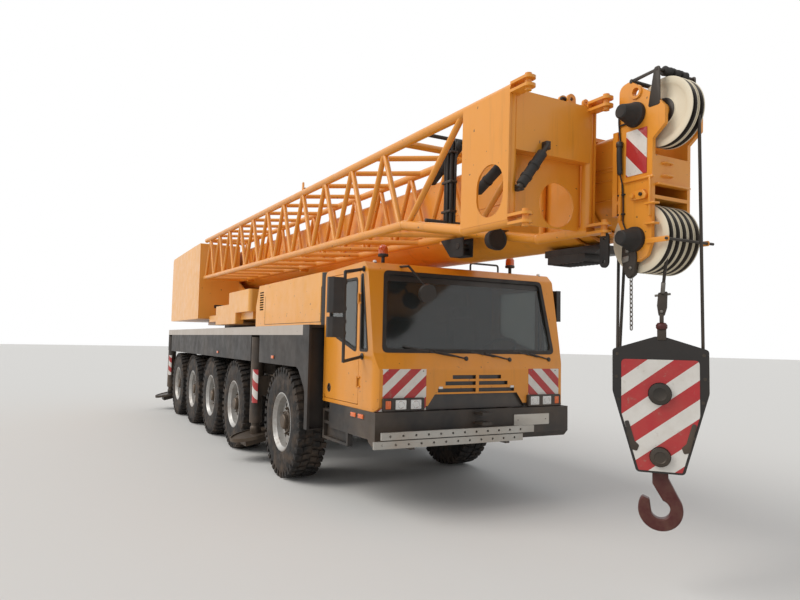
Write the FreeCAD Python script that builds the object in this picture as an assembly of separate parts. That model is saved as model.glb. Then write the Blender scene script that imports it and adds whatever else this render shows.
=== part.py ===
import FreeCAD
import Part

import math
import os

# Five-axle mobile crane with a telescopic boom, a folding lattice jib stowed along the boom's
# right side and a hook block hanging from the boom head. Millimetres. +X points to the front of
# the carrier, +Y to its left and +Z up. The origin is on the ground, in the middle of the length.

V = FreeCAD.Vector

# Overall driving dimensions
LENGTH = 14240.0
WIDTH = 2750.0
FRONT_AXLE_X = 1950.0
AXLE_SPACINGS = (2400.0, 1650.0, 1650.0, 1650.0)
HALF_WIDTH = WIDTH / 2

# Wheels and axles
TYRE_R = 685.0
TYRE_W = 375.0
TYRE_SIDES = 24
SHOULDER = 32.0
RIM_R = 360.0
RIM_BORE_R = 322.0
RIM_LIP = 30.0
DISC_Y = 50.0
DISC_T = 40.0
HUB_R = 140.0
HUB_FRONT_Y = 125.0
HUB_REAR_Y = -40.0
HUB_BORE_R = 75.0
SPINDLE_PLAY = 0.08
WHEEL_Y = HALF_WIDTH - TYRE_W / 2
COLLAR_R = 100.0
BRAKE_R = 210.0
BRAKE_W = 60.0
KINGPIN_Y = 930.0
KINGPIN_R = 42.0
KNUCKLE_R = 78.0
KNUCKLE_H = 250.0
ARM_REACH = 230.0
PIN_PLAY = 0.08
FACE_PLAY = 0.4
AXLE_TUBE_R = 95.0
DIFF_R = 190.0
DIFF_DROP = 45.0
STRUT_Y = 640.0
STRUT_R = 55.0

# Chassis frame
FRAME_HALF_W = 460.0
FRAME_BOTTOM_Z = 860.0
FRAME_TOP_Z = 1480.0
FRAME_REAR_X = -6850.0
FRAME_BOX_FRONT_X = 150.0
FRAME_STEP_X = 2850.0
FRAME_FRONT_X = 4060.0
FRAME_LOW_TOP_Z = 1030.0
FRAME_WALL = 16.0
RAIL_T = 60.0
CROSS_MEMBER_H = 100.0

# Slewing bearing
SLEW_X = -3650.0
PEDESTAL_R = 760.0
PEDESTAL_BORE_R = 640.0
PEDESTAL_TOP_Z = 1985.0
RING_GAP = 0.5
TURNTABLE_RING_T = 45.0

# Deck, skirts and fenders
DECK_Z = 1890.0
DECK_T = 20.0
SKIRT_BOTTOM_Z = 1392.0
SKIRT_T = 30.0
SKIRT_FRONT_X = 2890.0
STRIP_H = 120.0
WHEEL_HOUSE_X = 2792.0
WHEEL_HOUSE_BOTTOM_Z = 700.0
WHEEL_HOUSE_INNER_Y = 1130.0
RIB_T = 14.0

# Outriggers: one box across the frame at each end, with two beams side by side in it
OUTRIGGER_FRONT_X = 717.5
OUTRIGGER_REAR_X = -6584.5
BEAM_W = 190.0
BEAM_H = 280.0
BEAM_PLAY = 5.0
BEAM_SEAT = 0.3
BEAM_WALL = 16.0
BOX_WALL = 15.0
BOX_HALF_Y = 1160.0
BEAM_Z = 1045.0
BEAM_TIP_Y = 1190.0
BEAM_TAIL_Y = 1080.0
JACK_Y = 1300.0
JACK_R = 90.0
JACK_ROD_R = 62.0
JACK_TOP_Z = 1740.0
JACK_BOTTOM_Z = 520.0
JACK_STROKE = 550.0
BEAM_STROKE = 1700.0
BALL_Z = 430.0
BALL_R = 60.0
FLOAT_R = 310.0
FLOAT_T = 30.0
FLOAT_DROP = 95.0
FLOAT_SHIFT = 60.0
FLOAT_TILT = 12.0
SOLE_SIDE = 300.0
SOLE_T = 90.0

# Driver's cab
CAB_REAR_X = 2905.0
CAB_NOSE_X = 4245.0
CAB_BOTTOM_Z = FRAME_LOW_TOP_Z
CAB_ROOF_Z = 2525.0
CAB_HALF_W = 1195.0
CAB_WALL = 55.0
BELT_Z = 1600.0
SCREEN_TOP_Z = 2440.0
SCREEN_LOW_X = 4185.0
SCREEN_TOP_X = 4035.0
CAB_CORNER_R = 110.0
SCREEN_HALF_LOW = 1085.0
SCREEN_HALF_TOP = 1010.0
GLASS_T = 8.0
DOOR_REAR_X = 2950.0
DOOR_FRONT_X = 3850.0
DOOR_LOW_Z = 1075.0
DOOR_TOP_Z = 2430.0
DOOR_GAP = 6.0
DOOR_SEAL = 8.0
DOOR_HINGE_OUT = 12.0
HINGE_Z = (1300.0, 2150.0)
HINGE_R = 11.0
HINGE_H = 80.0
HINGE_PIN_R = 6.0
SEAT_Y = (-600.0, 600.0)
SEAT_BACK = 360.0
SEAT_H = 330.0

# Engine and its hood behind the cab
HOOD_REAR_X = SLEW_X + 3740.0
HOOD_FRONT_X = 2885.0
HOOD_TOP_Z = 2510.0
HOOD_HALF_W = 1200.0
HOOD_WALL = 25.0
HOOD_CHAMFER = 150.0
ENGINE_X = (1010.0, 2380.0)
ENGINE_HALF_W = 360.0
ENGINE_Z = (1010.0, 2250.0)

# Front end
BUMPER_X = (4140.0, 4290.0)
BUMPER_Z = (700.0, CAB_BOTTOM_Z)
BUMPER_HALF_W = 1210.0
COUPLING_PIN_R = 22.0
LADDER_X = 4412.0
LADDER_T = 28.0
LADDER_LOW_Z = 710.0
LADDER_STILE_H = 70.0
LADDER_GAP = 10.0
LADDER_LOWER_Y = (-1290.0, 450.0)
LADDER_UPPER_Y = (-1210.0, 600.0)
JAW_Z = (880.0, 980.0)
JAW_T = 30.0
STEP_X = (2950.0, 3650.0)
STEP_Y = (1150.0, 1205.0)
STEP_Z = (620.0, 950.0)

# Superstructure
PLATFORM_TOP_Z = 2150.0
WEB_Y = 430.0
WEB_T = 50.0
WEIGHT_REAR_X = -LENGTH / 2 + 70.0
WEIGHT_X = (WEIGHT_REAR_X, WEIGHT_REAR_X + 3260.0)
WEIGHT_Z = (2105.0, 3665.0)
WEIGHT_HALF_W = 1300.0
TURNTABLE_REAR_X = WEIGHT_X[0] + 400.0
PIVOT_X = WEIGHT_X[0] + 1800.0
PIVOT_Z = 3050.0
PIVOT_R = 80.0
WINCH_X = WEIGHT_X[0] + 720.0
WINCH_Z = 2760.0
WINCH_DRUM_R = 210.0
WINCH_FLANGE_R = 300.0
CRANE_CAB_X = (SLEW_X + 1270.0, SLEW_X + 2820.0)
CRANE_CAB_Y = (505.0, 1290.0)
CRANE_CAB_Z = (PLATFORM_TOP_Z, 3480.0)
SLIDE_DOOR_T = 30.0
SLIDE_DOOR_GAP = 5.0
CRANE_CAB_WALL = 40.0

# Boom, drawn level and then turned nose-down about its foot pin
BOOM_DROOP = 1.2
BOOM_MAX_ANGLE = 80.0
BOOM_AXIS_Z = 3200.0
BOOM_HALF_W = 400.0
BOOM_HALF_H = 425.0
BOOM_BELLY_R = 395.0
BOOM_WALL = 14.0
SECTION_PLAY = 16.0
PAD_PLAY = 0.3
BASE_COLLAR_T = 8.0
BASE_FRONT_X = LENGTH / 2 - 1220.0
SECTION_STEP = 140.0
SECTION_REAR_X = PIVOT_X + 700.0
SECTION_STROKE = 8000.0
HEAD_SECTIONS = 3

# Lift cylinder under the boom
BARREL_X = PIVOT_X + 900.0
BARREL_Z = 2330.0
ROD_EYE_X = SLEW_X + 3350.0
ROD_EYE_Z = 2530.0
BARREL_R = 135.0
ROD_R = 85.0
EYE_R = 105.0
EYE_HALF_W = 95.0
BARREL_START = 200.0

# Boom head
HEAD_Y = (-400.0, -10.0)
HEAD_PLATE_T = 30.0
HEAD_TUBE_X = BASE_FRONT_X + 600.0
HEAD_PLATE_X = HEAD_TUBE_X + 40.0
TOP_SHEAVE_R = 240.0
TOP_SHEAVE_Z = 3584.0
LOW_SHEAVE_R = 245.0
LOW_SHEAVE_BACK = 160.0
LOW_SHEAVE_Z = 2722.0
SHEAVE_T = 60.0
SHEAVE_PITCH = 66.0
SHEAVE_GROOVE = 38.0
LOW_SHEAVE_Y = -337.0
TOP_SHEAVE_Y = -310.0
SHAFT_R = 55.0

# Lattice jib
JIB_Y = (-1205.0, -480.0)
JIB_LOW_Z = 2975.0
JIB_TOP_Z = 3735.0
JIB_REAR_X = WEIGHT_X[1] + 150.0
JIB_FRAME_X = (BASE_FRONT_X - 130.0, BASE_FRONT_X + 450.0)
JIB_FRAME_LOW_Z = 2810.0
JIB_KINK_X = JIB_FRAME_X[0] - 980.0
CHORD_R = 42.0
LACING_R = 27.0
LACING_SET = 20
FLAT_SET = 115
CHORD_END = 30.0
LUG_REACH = 190.0
POST_R = 42.0
REAR_POST_R = 27.0
POST_SET = 42.0
JIB_PLATE_T = 16.0
JIB_PANEL_H = 424.0
JIB_RECESS = 94.0
HANGER_X = (JIB_REAR_X + 640.0, JIB_REAR_X + 3740.0, JIB_KINK_X - 490.0)

# Hook block, hanging below the lower sheaves and turned about the vertical
BLOCK_Y = -170.0
BLOCK_TURN = 40.0
BLOCK_TOP_Z = 1785.0
BLOCK_SHOULDER_Z = 1695.0
BLOCK_KNEE_Z = 1400.0
BLOCK_TIP_Z = 848.0
BLOCK_HALF_TOP = 312.0
BLOCK_HALF_LOW = 155.0
BLOCK_T = 210.0
CHEEK_T = 28.0
CROSSHEAD_Z = 960.0
CROSSHEAD_R = 62.0
HOOK_GAP = 5.0
HOOK_LOW_Z = 440.0
HOOK_SHANK_R = 45.0
HOOK_BOWL_R = 147.0
HOOK_THROAT_R = 63.0
HOOK_NECK = 105.0
HOOK_T = 76.0
HOOK_ROUND = 12.0
FALL_R = 11.0
FALL_START = 15.0
TOP_FALL_START = 70.0
BLOCK_SHEAVE_R = 270.0
BLOCK_SHEAVE_Z = 1390.0
HOIST_DOWN = 380.0

AXLE_X = [FRONT_AXLE_X - sum(AXLE_SPACINGS[:n]) for n in range(len(AXLE_SPACINGS) + 1)]
RIGID_AXLE = 2
LEAD_STEER = 28.0


def steer_ratio(axle):
    """Steering of an axle as a share of the first axle's, all turning about the rigid axle."""
    return (AXLE_X[axle] - AXLE_X[RIGID_AXLE]) / (AXLE_X[0] - AXLE_X[RIGID_AXLE])


def box(x, y, z):
    """Block between the two limits given for each axis."""
    low = V(min(x), min(y), min(z))
    return Part.makeBox(max(x) - low.x, max(y) - low.y, max(z) - low.z, low)


def rod(radius, start, end):
    """Round bar from one point to another."""
    a = V(*start)
    b = V(*end)
    return Part.makeCylinder(radius, (b - a).Length, a, b - a)


def ring(outer, inner, start, end):
    """Round tube from one point to another."""
    return rod(outer, start, end).cut(rod(inner, start, end))


def outline(points, radii=None):
    """Closed wire through 3-D points in one plane; a corner with a radius is rounded by an arc."""
    count = len(points)
    corners = [V(*p) for p in points]
    radii = radii or [0.0] * count
    edges = []
    ends = []
    for n in range(count):
        before = corners[n - 1]
        here = corners[n]
        after = corners[(n + 1) % count]
        back = (before - here).normalize()
        ahead = (after - here).normalize()
        if radii[n] <= 0:
            ends.append((here, here, None))
            continue
        half = back.getAngle(ahead) / 2
        reach = radii[n] / math.tan(half)
        middle = (back + ahead).normalize()
        centre = here + middle * (radii[n] / math.sin(half))
        ends.append((here + back * reach, here + ahead * reach, centre - middle * radii[n]))
    for n in range(count):
        start, end, through = ends[n]
        if through is not None:
            edges.append(Part.Arc(start, through, end).toShape())
        following = ends[(n + 1) % count][0]
        if (following - end).Length > 1e-6:
            edges.append(Part.LineSegment(end, following).toShape())
    return Part.Wire(edges)


def side_prism(points, y, radii=None):
    """Outline in X and Z, carried from one Y to another."""
    wire = outline([(px, min(y), pz) for px, pz in points], radii)
    return Part.Face(wire).extrude(V(0, max(y) - min(y), 0))


def top_prism(points, z, radii=None):
    """Outline in X and Y, carried from one Z to another."""
    wire = outline([(px, py, min(z)) for px, py in points], radii)
    return Part.Face(wire).extrude(V(0, 0, max(z) - min(z)))


def front_prism(points, x, radii=None):
    """Outline in Y and Z, carried from one X to another."""
    wire = outline([(min(x), py, pz) for py, pz in points], radii)
    return Part.Face(wire).extrude(V(max(x) - min(x), 0, 0))


def join(shapes):
    """One shape of all that is given."""
    whole = shapes[0]
    if len(shapes) > 1:
        whole = whole.fuse(shapes[1:])
    return whole.removeSplitter()


def apart(shapes):
    """Solids that share no space: each gives way to those listed before it."""
    kept = []
    for shape in shapes:
        for other in kept:
            if shape.BoundBox.intersect(other.BoundBox):
                shape = shape.cut(other)
        kept += shape.Solids
    return Part.makeCompound(kept)


def both_sides(shape):
    """The shape and its mirror image across the middle plane."""
    return [shape, mirrored(shape)]


def mirrored(shape):
    return shape.mirror(V(0, 0, 0), V(0, 1, 0))


def turned(shape, point, axis, degrees):
    copy = shape.copy()
    copy.rotate(V(*point), V(*axis), degrees)
    return copy


def drooped(shape):
    """A boom piece drawn level, brought to its resting angle about the foot pin."""
    return turned(shape, (PIVOT_X, 0, PIVOT_Z), (0, 1, 0), BOOM_DROOP)


def drooped_point(x, y, z):
    """Where a point of the level boom lies at rest."""
    angle = math.radians(BOOM_DROOP)
    along = x - PIVOT_X
    above = z - PIVOT_Z
    return (
        PIVOT_X + along * math.cos(angle) + above * math.sin(angle),
        y,
        PIVOT_Z - along * math.sin(angle) + above * math.cos(angle),
    )


def save(node, shape):
    solids = shape.Solids
    kept = solids[0] if len(solids) == 1 else Part.makeCompound(solids)
    kept.exportStep("parts/%s.step" % node)
    return kept


def facetted_turn(profile, sides, centre):
    """Solid turned about Y through a centre, as flat facets; profile rows are radius, y."""
    flat = math.pi / sides
    faces = []
    rings = []
    for radius, along in profile:
        reach = radius / math.cos(flat)
        points = []
        for n in range(sides):
            angle = -math.pi / 2 + (2 * n + 1) * flat
            points.append(centre + V(reach * math.cos(angle), along, reach * math.sin(angle)))
        rings.append(points)
    for row in range(len(rings)):
        low = rings[row]
        high = rings[(row + 1) % len(rings)]
        for n in range(sides):
            after = (n + 1) % sides
            corners = [low[n], low[after], high[after], high[n], low[n]]
            faces.append(Part.Face(Part.makePolygon(corners)))
    return Part.Solid(Part.Shell(faces))


def wheel(axle, side):
    """Tyre, rim, dished disc and hub of one wheel; side is -1 on the right and +1 on the left."""
    half = TYRE_W / 2
    # radius, place across the wheel outwards
    profile = [
        (TYRE_R, -half + SHOULDER), (TYRE_R, half - SHOULDER), (TYRE_R - SHOULDER, half),
        (RIM_R, half), (RIM_BORE_R, half - RIM_LIP), (RIM_BORE_R, DISC_Y),
        (HUB_R, HUB_FRONT_Y), (HUB_BORE_R, HUB_FRONT_Y), (HUB_BORE_R, HUB_REAR_Y),
        (RIM_BORE_R, DISC_Y - DISC_T), (RIM_R, -half), (TYRE_R - SHOULDER, -half),
    ]
    centre = V(AXLE_X[axle], side * WHEEL_Y, TYRE_R)
    return facetted_turn([(r, side * y) for r, y in profile], TYRE_SIDES, centre)


def spindle(axle, side, start_y):
    """Stub that carries the wheel's hub, from an inner Y outwards, with the brake behind it."""
    x = AXLE_X[axle]
    hub_rear = WHEEL_Y + HUB_REAR_Y
    pieces = [
        rod(COLLAR_R, (x, side * start_y, TYRE_R), (x, side * (hub_rear - FACE_PLAY), TYRE_R)),
        rod(
            HUB_BORE_R - SPINDLE_PLAY,
            (x, side * start_y, TYRE_R),
            (x, side * (WHEEL_Y + HUB_FRONT_Y - 20), TYRE_R),
        ),
        rod(
            BRAKE_R,
            (x, side * (hub_rear - BRAKE_W - 15), TYRE_R),
            (x, side * (hub_rear - 15), TYRE_R),
        ),
    ]
    return join(pieces)


def knuckle(axle, side):
    """Steered hub carrier: a sleeve round the kingpin and the wheel's spindle."""
    x = AXLE_X[axle]
    y = side * KINGPIN_Y
    low = TYRE_R - KNUCKLE_H / 2
    high = TYRE_R + KNUCKLE_H / 2
    arm_end = x + (-ARM_REACH if axle == 0 else ARM_REACH)
    arm = box((x, arm_end), (y - side * 10, y - side * 60), (TYRE_R - 110, TYRE_R - 60))
    sleeve = rod(KNUCKLE_R, (x, y, low), (x, y, high))
    body = join([sleeve, spindle(axle, side, KINGPIN_Y + 20), arm])
    return body.cut(rod(KINGPIN_R + PIN_PLAY, (x, y, low - 1), (x, y, high + 1)))


def axle_beam(axle):
    """Axle housing with its differential bowl, yokes or fixed spindles, and suspension struts."""
    x = AXLE_X[axle]
    steered = axle != RIGID_AXLE
    tube_end = KINGPIN_Y - KNUCKLE_R - 70
    if not steered:
        tube_end = KINGPIN_Y
    pieces = [rod(AXLE_TUBE_R, (x, -tube_end, TYRE_R), (x, tube_end, TYRE_R))]
    pieces.append(Part.makeSphere(DIFF_R, V(x, 0, TYRE_R - DIFF_DROP)))
    strut_top = FRAME_TOP_Z - 120
    for side in (-1, 1):
        y = side * KINGPIN_Y
        if steered:
            for level in (-1, 1):
                near = TYRE_R + level * (KNUCKLE_H / 2 + FACE_PLAY)
                far = near + level * 45
                pieces.append(rod(KNUCKLE_R, (x, y, near), (x, y, far)))
                arm = box(
                    (x - 60, x + 60), (side * (tube_end - 60), y), (near, far)
                )
                pieces.append(arm)
            yoke = box(
                (x - 60, x + 60),
                (side * (tube_end - 60), side * tube_end),
                (TYRE_R - KNUCKLE_H / 2 - 45, TYRE_R + KNUCKLE_H / 2 + 45),
            )
            pieces.append(yoke)
            pin_low = (x, y, TYRE_R - KNUCKLE_H / 2 - 20)
            pin_high = (x, y, TYRE_R + KNUCKLE_H / 2 + 20)
            pieces.append(rod(KINGPIN_R, pin_low, pin_high))
        else:
            pieces.append(spindle(axle, side, KINGPIN_Y - 40))
        foot = (x, side * STRUT_Y, TYRE_R)
        top = (x, side * STRUT_Y, strut_top)
        pieces.append(rod(STRUT_R, foot, top))
        bracket = box(
            (x - 70, x + 70),
            (side * FRAME_HALF_W, side * (STRUT_Y + STRUT_R)),
            (strut_top - 60, strut_top + 20),
        )
        pieces.append(bracket)
    return join(pieces)


def outrigger_channels(centre_x):
    """X of the two beams in an outrigger box, by side: the right one lies behind the left one."""
    pitch = BEAM_W + 2 * BEAM_PLAY + BOX_WALL
    return {-1: centre_x - pitch / 2, 1: centre_x + pitch / 2}


def outrigger_box(centre_x):
    """Welded box across the frame and the two channels cut through it, one for each beam."""
    channel_w = BEAM_W + 2 * BEAM_PLAY
    half_w = channel_w + 1.5 * BOX_WALL
    half_h = BEAM_H / 2 + 2 * BEAM_PLAY + BOX_WALL
    shell = box(
        (centre_x - half_w, centre_x + half_w),
        (-BOX_HALF_Y, BOX_HALF_Y),
        (BEAM_Z - half_h, BEAM_Z + half_h),
    )
    channels = []
    for x in outrigger_channels(centre_x).values():
        channels.append(
            box(
                (x - channel_w / 2, x + channel_w / 2),
                (-BOX_HALF_Y - 1, BOX_HALF_Y + 1),
                (BEAM_Z - BEAM_H / 2 - BEAM_SEAT, BEAM_Z + BEAM_H / 2 + 2 * BEAM_PLAY),
            )
        )
    return shell, channels


def chassis_frame():
    """Welded frame: a closed box behind, two rails in front, the slewing pedestal and the boxes."""
    outer = box(
        (FRAME_REAR_X, FRAME_BOX_FRONT_X),
        (-FRAME_HALF_W, FRAME_HALF_W),
        (FRAME_BOTTOM_Z, FRAME_TOP_Z),
    )
    inner = box(
        (FRAME_REAR_X + FRAME_WALL, FRAME_BOX_FRONT_X - FRAME_WALL),
        (-FRAME_HALF_W + FRAME_WALL, FRAME_HALF_W - FRAME_WALL),
        (FRAME_BOTTOM_Z + FRAME_WALL, FRAME_TOP_Z - FRAME_WALL),
    )
    rail_side = [
        (FRAME_BOX_FRONT_X - 40, FRAME_BOTTOM_Z), (FRAME_FRONT_X, FRAME_BOTTOM_Z),
        (FRAME_FRONT_X, FRAME_LOW_TOP_Z), (FRAME_STEP_X, FRAME_LOW_TOP_Z),
        (FRAME_STEP_X - 160, FRAME_TOP_Z), (FRAME_BOX_FRONT_X - 40, FRAME_TOP_Z),
    ]
    rail = side_prism(rail_side, (FRAME_HALF_W - RAIL_T, FRAME_HALF_W))
    pieces = [outer.cut(inner)] + both_sides(rail)
    inside_y = (-FRAME_HALF_W + RAIL_T - 5, FRAME_HALF_W - RAIL_T + 5)
    cross_z = (ENGINE_Z[0] - CROSS_MEMBER_H, ENGINE_Z[0])
    for x in (ENGINE_X[0] + 120, ENGINE_X[1] - 120, FRAME_STEP_X + 100, FRAME_FRONT_X - 60):
        pieces.append(box((x - 50, x + 50), inside_y, cross_z))
    pedestal = rod(PEDESTAL_R, (SLEW_X, 0, FRAME_TOP_Z - 30), (SLEW_X, 0, PEDESTAL_TOP_Z))
    well = rod(PEDESTAL_BORE_R, (SLEW_X, 0, FRAME_TOP_Z), (SLEW_X, 0, PEDESTAL_TOP_Z + 1))
    pieces.append(pedestal.cut(well))
    channels = []
    for x in (OUTRIGGER_FRONT_X, OUTRIGGER_REAR_X):
        shell, holes = outrigger_box(x)
        pieces.append(shell)
        channels += holes
    whole = join(pieces).cut(Part.makeCompound(channels)).removeSplitter()
    ahead = box(
        (FRAME_STEP_X, FRAME_FRONT_X + 1),
        (-FRAME_HALF_W - 1, FRAME_HALF_W + 1),
        (FRAME_BOTTOM_Z - 1, FRAME_TOP_Z + 1),
    )
    return Part.makeCompound(whole.cut(ahead).Solids + whole.common(ahead).Solids)


def outrigger_beam(centre_x, side):
    """Sliding beam with the vertical jack tube at its outer end."""
    x = outrigger_channels(centre_x)[side]
    tail = -side * BEAM_TAIL_Y
    tip = side * BEAM_TIP_Y
    outer = box(
        (x - BEAM_W / 2, x + BEAM_W / 2), (tail, tip), (BEAM_Z - BEAM_H / 2, BEAM_Z + BEAM_H / 2)
    )
    inner = box(
        (x - BEAM_W / 2 + BEAM_WALL, x + BEAM_W / 2 - BEAM_WALL),
        (tail - side, tip - side * BEAM_WALL),
        (BEAM_Z - BEAM_H / 2 + BEAM_WALL, BEAM_Z + BEAM_H / 2 - BEAM_WALL),
    )
    arm = box(
        (x - BEAM_W / 2, x + BEAM_W / 2),
        (tip - side * 10, side * JACK_Y),
        (BEAM_Z - BEAM_H / 2, BEAM_Z + BEAM_H / 2),
    )
    tube = rod(JACK_R, (x, side * JACK_Y, JACK_BOTTOM_Z), (x, side * JACK_Y, JACK_TOP_Z))
    bore = rod(
        JACK_ROD_R + PIN_PLAY,
        (x, side * JACK_Y, JACK_BOTTOM_Z - 1),
        (x, side * JACK_Y, JACK_TOP_Z - 60),
    )
    return join([outer.cut(inner), arm, tube]).cut(bore)


def outrigger_jack(centre_x, side):
    """Jack rod with its ball foot and the float plate, which hangs with its outer edge low."""
    x = outrigger_channels(centre_x)[side]
    y = side * JACK_Y
    plate_y = y + side * FLOAT_SHIFT
    top = BALL_Z + JACK_STROKE + 420
    plate_low = BALL_Z - FLOAT_DROP
    plate_top = plate_low + FLOAT_T
    pieces = [
        rod(BALL_R + 15, (x, y, BALL_Z), (x, y, plate_top - 5)),
        rod(FLOAT_R, (x, plate_y, plate_low), (x, plate_y, plate_top)),
        ring(FLOAT_R, FLOAT_R - 18, (x, plate_y, plate_top), (x, plate_y, plate_top + 18)),
        box(
            (x - SOLE_SIDE / 2, x + SOLE_SIDE / 2),
            (plate_y - SOLE_SIDE / 2, plate_y + SOLE_SIDE / 2),
            (plate_low - SOLE_T, plate_low),
        ),
    ]
    plate = turned(join(pieces), (x, y, BALL_Z), (1, 0, 0), -side * FLOAT_TILT)
    leg = rod(JACK_ROD_R, (x, y, BALL_Z), (x, y, top))
    return join([leg, Part.makeSphere(BALL_R + 15, V(x, y, BALL_Z)), plate])


def skirt(side):
    """Side panel along the carrier, with the arch in front of the first wheel."""
    y = (side * (HALF_WIDTH - SKIRT_T), side * HALF_WIDTH)
    low = SKIRT_BOTTOM_Z
    strip = DECK_Z - STRIP_H
    channels = [outrigger_channels(OUTRIGGER_FRONT_X)[s] for s in (-1, 1)]
    gap = (channels[0] - JACK_R - 15, channels[1] + JACK_R + 15)
    arch_start = WHEEL_HOUSE_X - 260
    rear_channels = [outrigger_channels(OUTRIGGER_REAR_X)[s] for s in (-1, 1)]
    rear_gap = rear_channels[1] + JACK_R + 15
    points = [
        (FRAME_REAR_X, strip), (rear_gap, strip), (rear_gap, low), (gap[0], low),
        (gap[0], strip), (gap[1], strip), (gap[1], low), (arch_start, low),
        (WHEEL_HOUSE_X, low - 260), (WHEEL_HOUSE_X, WHEEL_HOUSE_BOTTOM_Z),
        (SKIRT_FRONT_X, WHEEL_HOUSE_BOTTOM_Z), (SKIRT_FRONT_X, DECK_Z), (FRAME_REAR_X, DECK_Z),
    ]
    radii = [0, 0, 0, 0, 0, 0, 0, 180, 180, 0, 0, 0, 0]
    return side_prism(points, y, radii)


def side_bodies():
    """Deck plate, skirts, the column behind the cab and the ribs that stand on the frame."""
    deck = box((FRAME_REAR_X, SKIRT_FRONT_X), (-HALF_WIDTH, HALF_WIDTH), (DECK_Z - DECK_T, DECK_Z))
    hood_opening = box(
        (HOOD_REAR_X + 80, HOOD_FRONT_X - 80),
        (-HOOD_HALF_W + 80, HOOD_HALF_W - 80),
        (DECK_Z - DECK_T - 1, DECK_Z + 1),
    )
    ring_opening = rod(
        PEDESTAL_R + 12, (SLEW_X, 0, DECK_Z - DECK_T - 1), (SLEW_X, 0, DECK_Z + 1)
    )
    pieces = [deck.cut(hood_opening).cut(ring_opening)]
    for side in (-1, 1):
        pieces.append(skirt(side))
        column = box(
            (WHEEL_HOUSE_X, SKIRT_FRONT_X),
            (side * WHEEL_HOUSE_INNER_Y, side * (HALF_WIDTH - 5)),
            (WHEEL_HOUSE_BOTTOM_Z, DECK_Z - 5),
        )
        hollow = box(
            (WHEEL_HOUSE_X + 12, SKIRT_FRONT_X + 1),
            (side * (WHEEL_HOUSE_INNER_Y + 12), side * (HALF_WIDTH - 12)),
            (WHEEL_HOUSE_BOTTOM_Z + 12, DECK_Z - DECK_T - 12),
        )
        pieces.append(column.cut(hollow))
    reach = HALF_WIDTH - 5
    # rib x, half width of the opening between its two halves
    ribs = [
        (FRAME_REAR_X + 20, 0), (-6200, 0), (SLEW_X - 970, 0), (SLEW_X + 950, 0), (-1275, 0), (80, 0),
        (480, 0), (960, 420), (SKIRT_FRONT_X - 110, 420),
    ]
    for x, opening in ribs:
        low_y = FRAME_HALF_W + 1
        points = [
            (-reach, SKIRT_BOTTOM_Z + 15), (-low_y, SKIRT_BOTTOM_Z + 15), (-low_y, FRAME_TOP_Z),
            (low_y, FRAME_TOP_Z), (low_y, SKIRT_BOTTOM_Z + 15), (reach, SKIRT_BOTTOM_Z + 15),
            (reach, DECK_Z - 5), (-reach, DECK_Z - 5),
        ]
        rib = front_prism(points, (x, x + RIB_T))
        if opening:
            cut_y = (-opening, opening)
            rib = rib.cut(box((x - 1, x + RIB_T + 1), cut_y, (FRAME_TOP_Z - 1, DECK_Z)))
        pieces.append(rib)
    rear_wall = box(
        (FRAME_REAR_X - 12, FRAME_REAR_X), (-reach, reach), (SKIRT_BOTTOM_Z + 15, DECK_Z)
    )
    pieces.append(rear_wall)
    body = join(pieces)
    tubes = []
    for x in (OUTRIGGER_FRONT_X, OUTRIGGER_REAR_X):
        for side, channel in outrigger_channels(x).items():
            tubes.append(
                box(
                    (channel - JACK_R - 12, channel + JACK_R + 12),
                    (side * (JACK_Y - JACK_R - 12), side * (HALF_WIDTH + 60)),
                    (SKIRT_BOTTOM_Z - 10, DECK_Z - STRIP_H - 2),
                )
            )
    return body.cut(Part.makeCompound(tubes)).removeSplitter()


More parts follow.
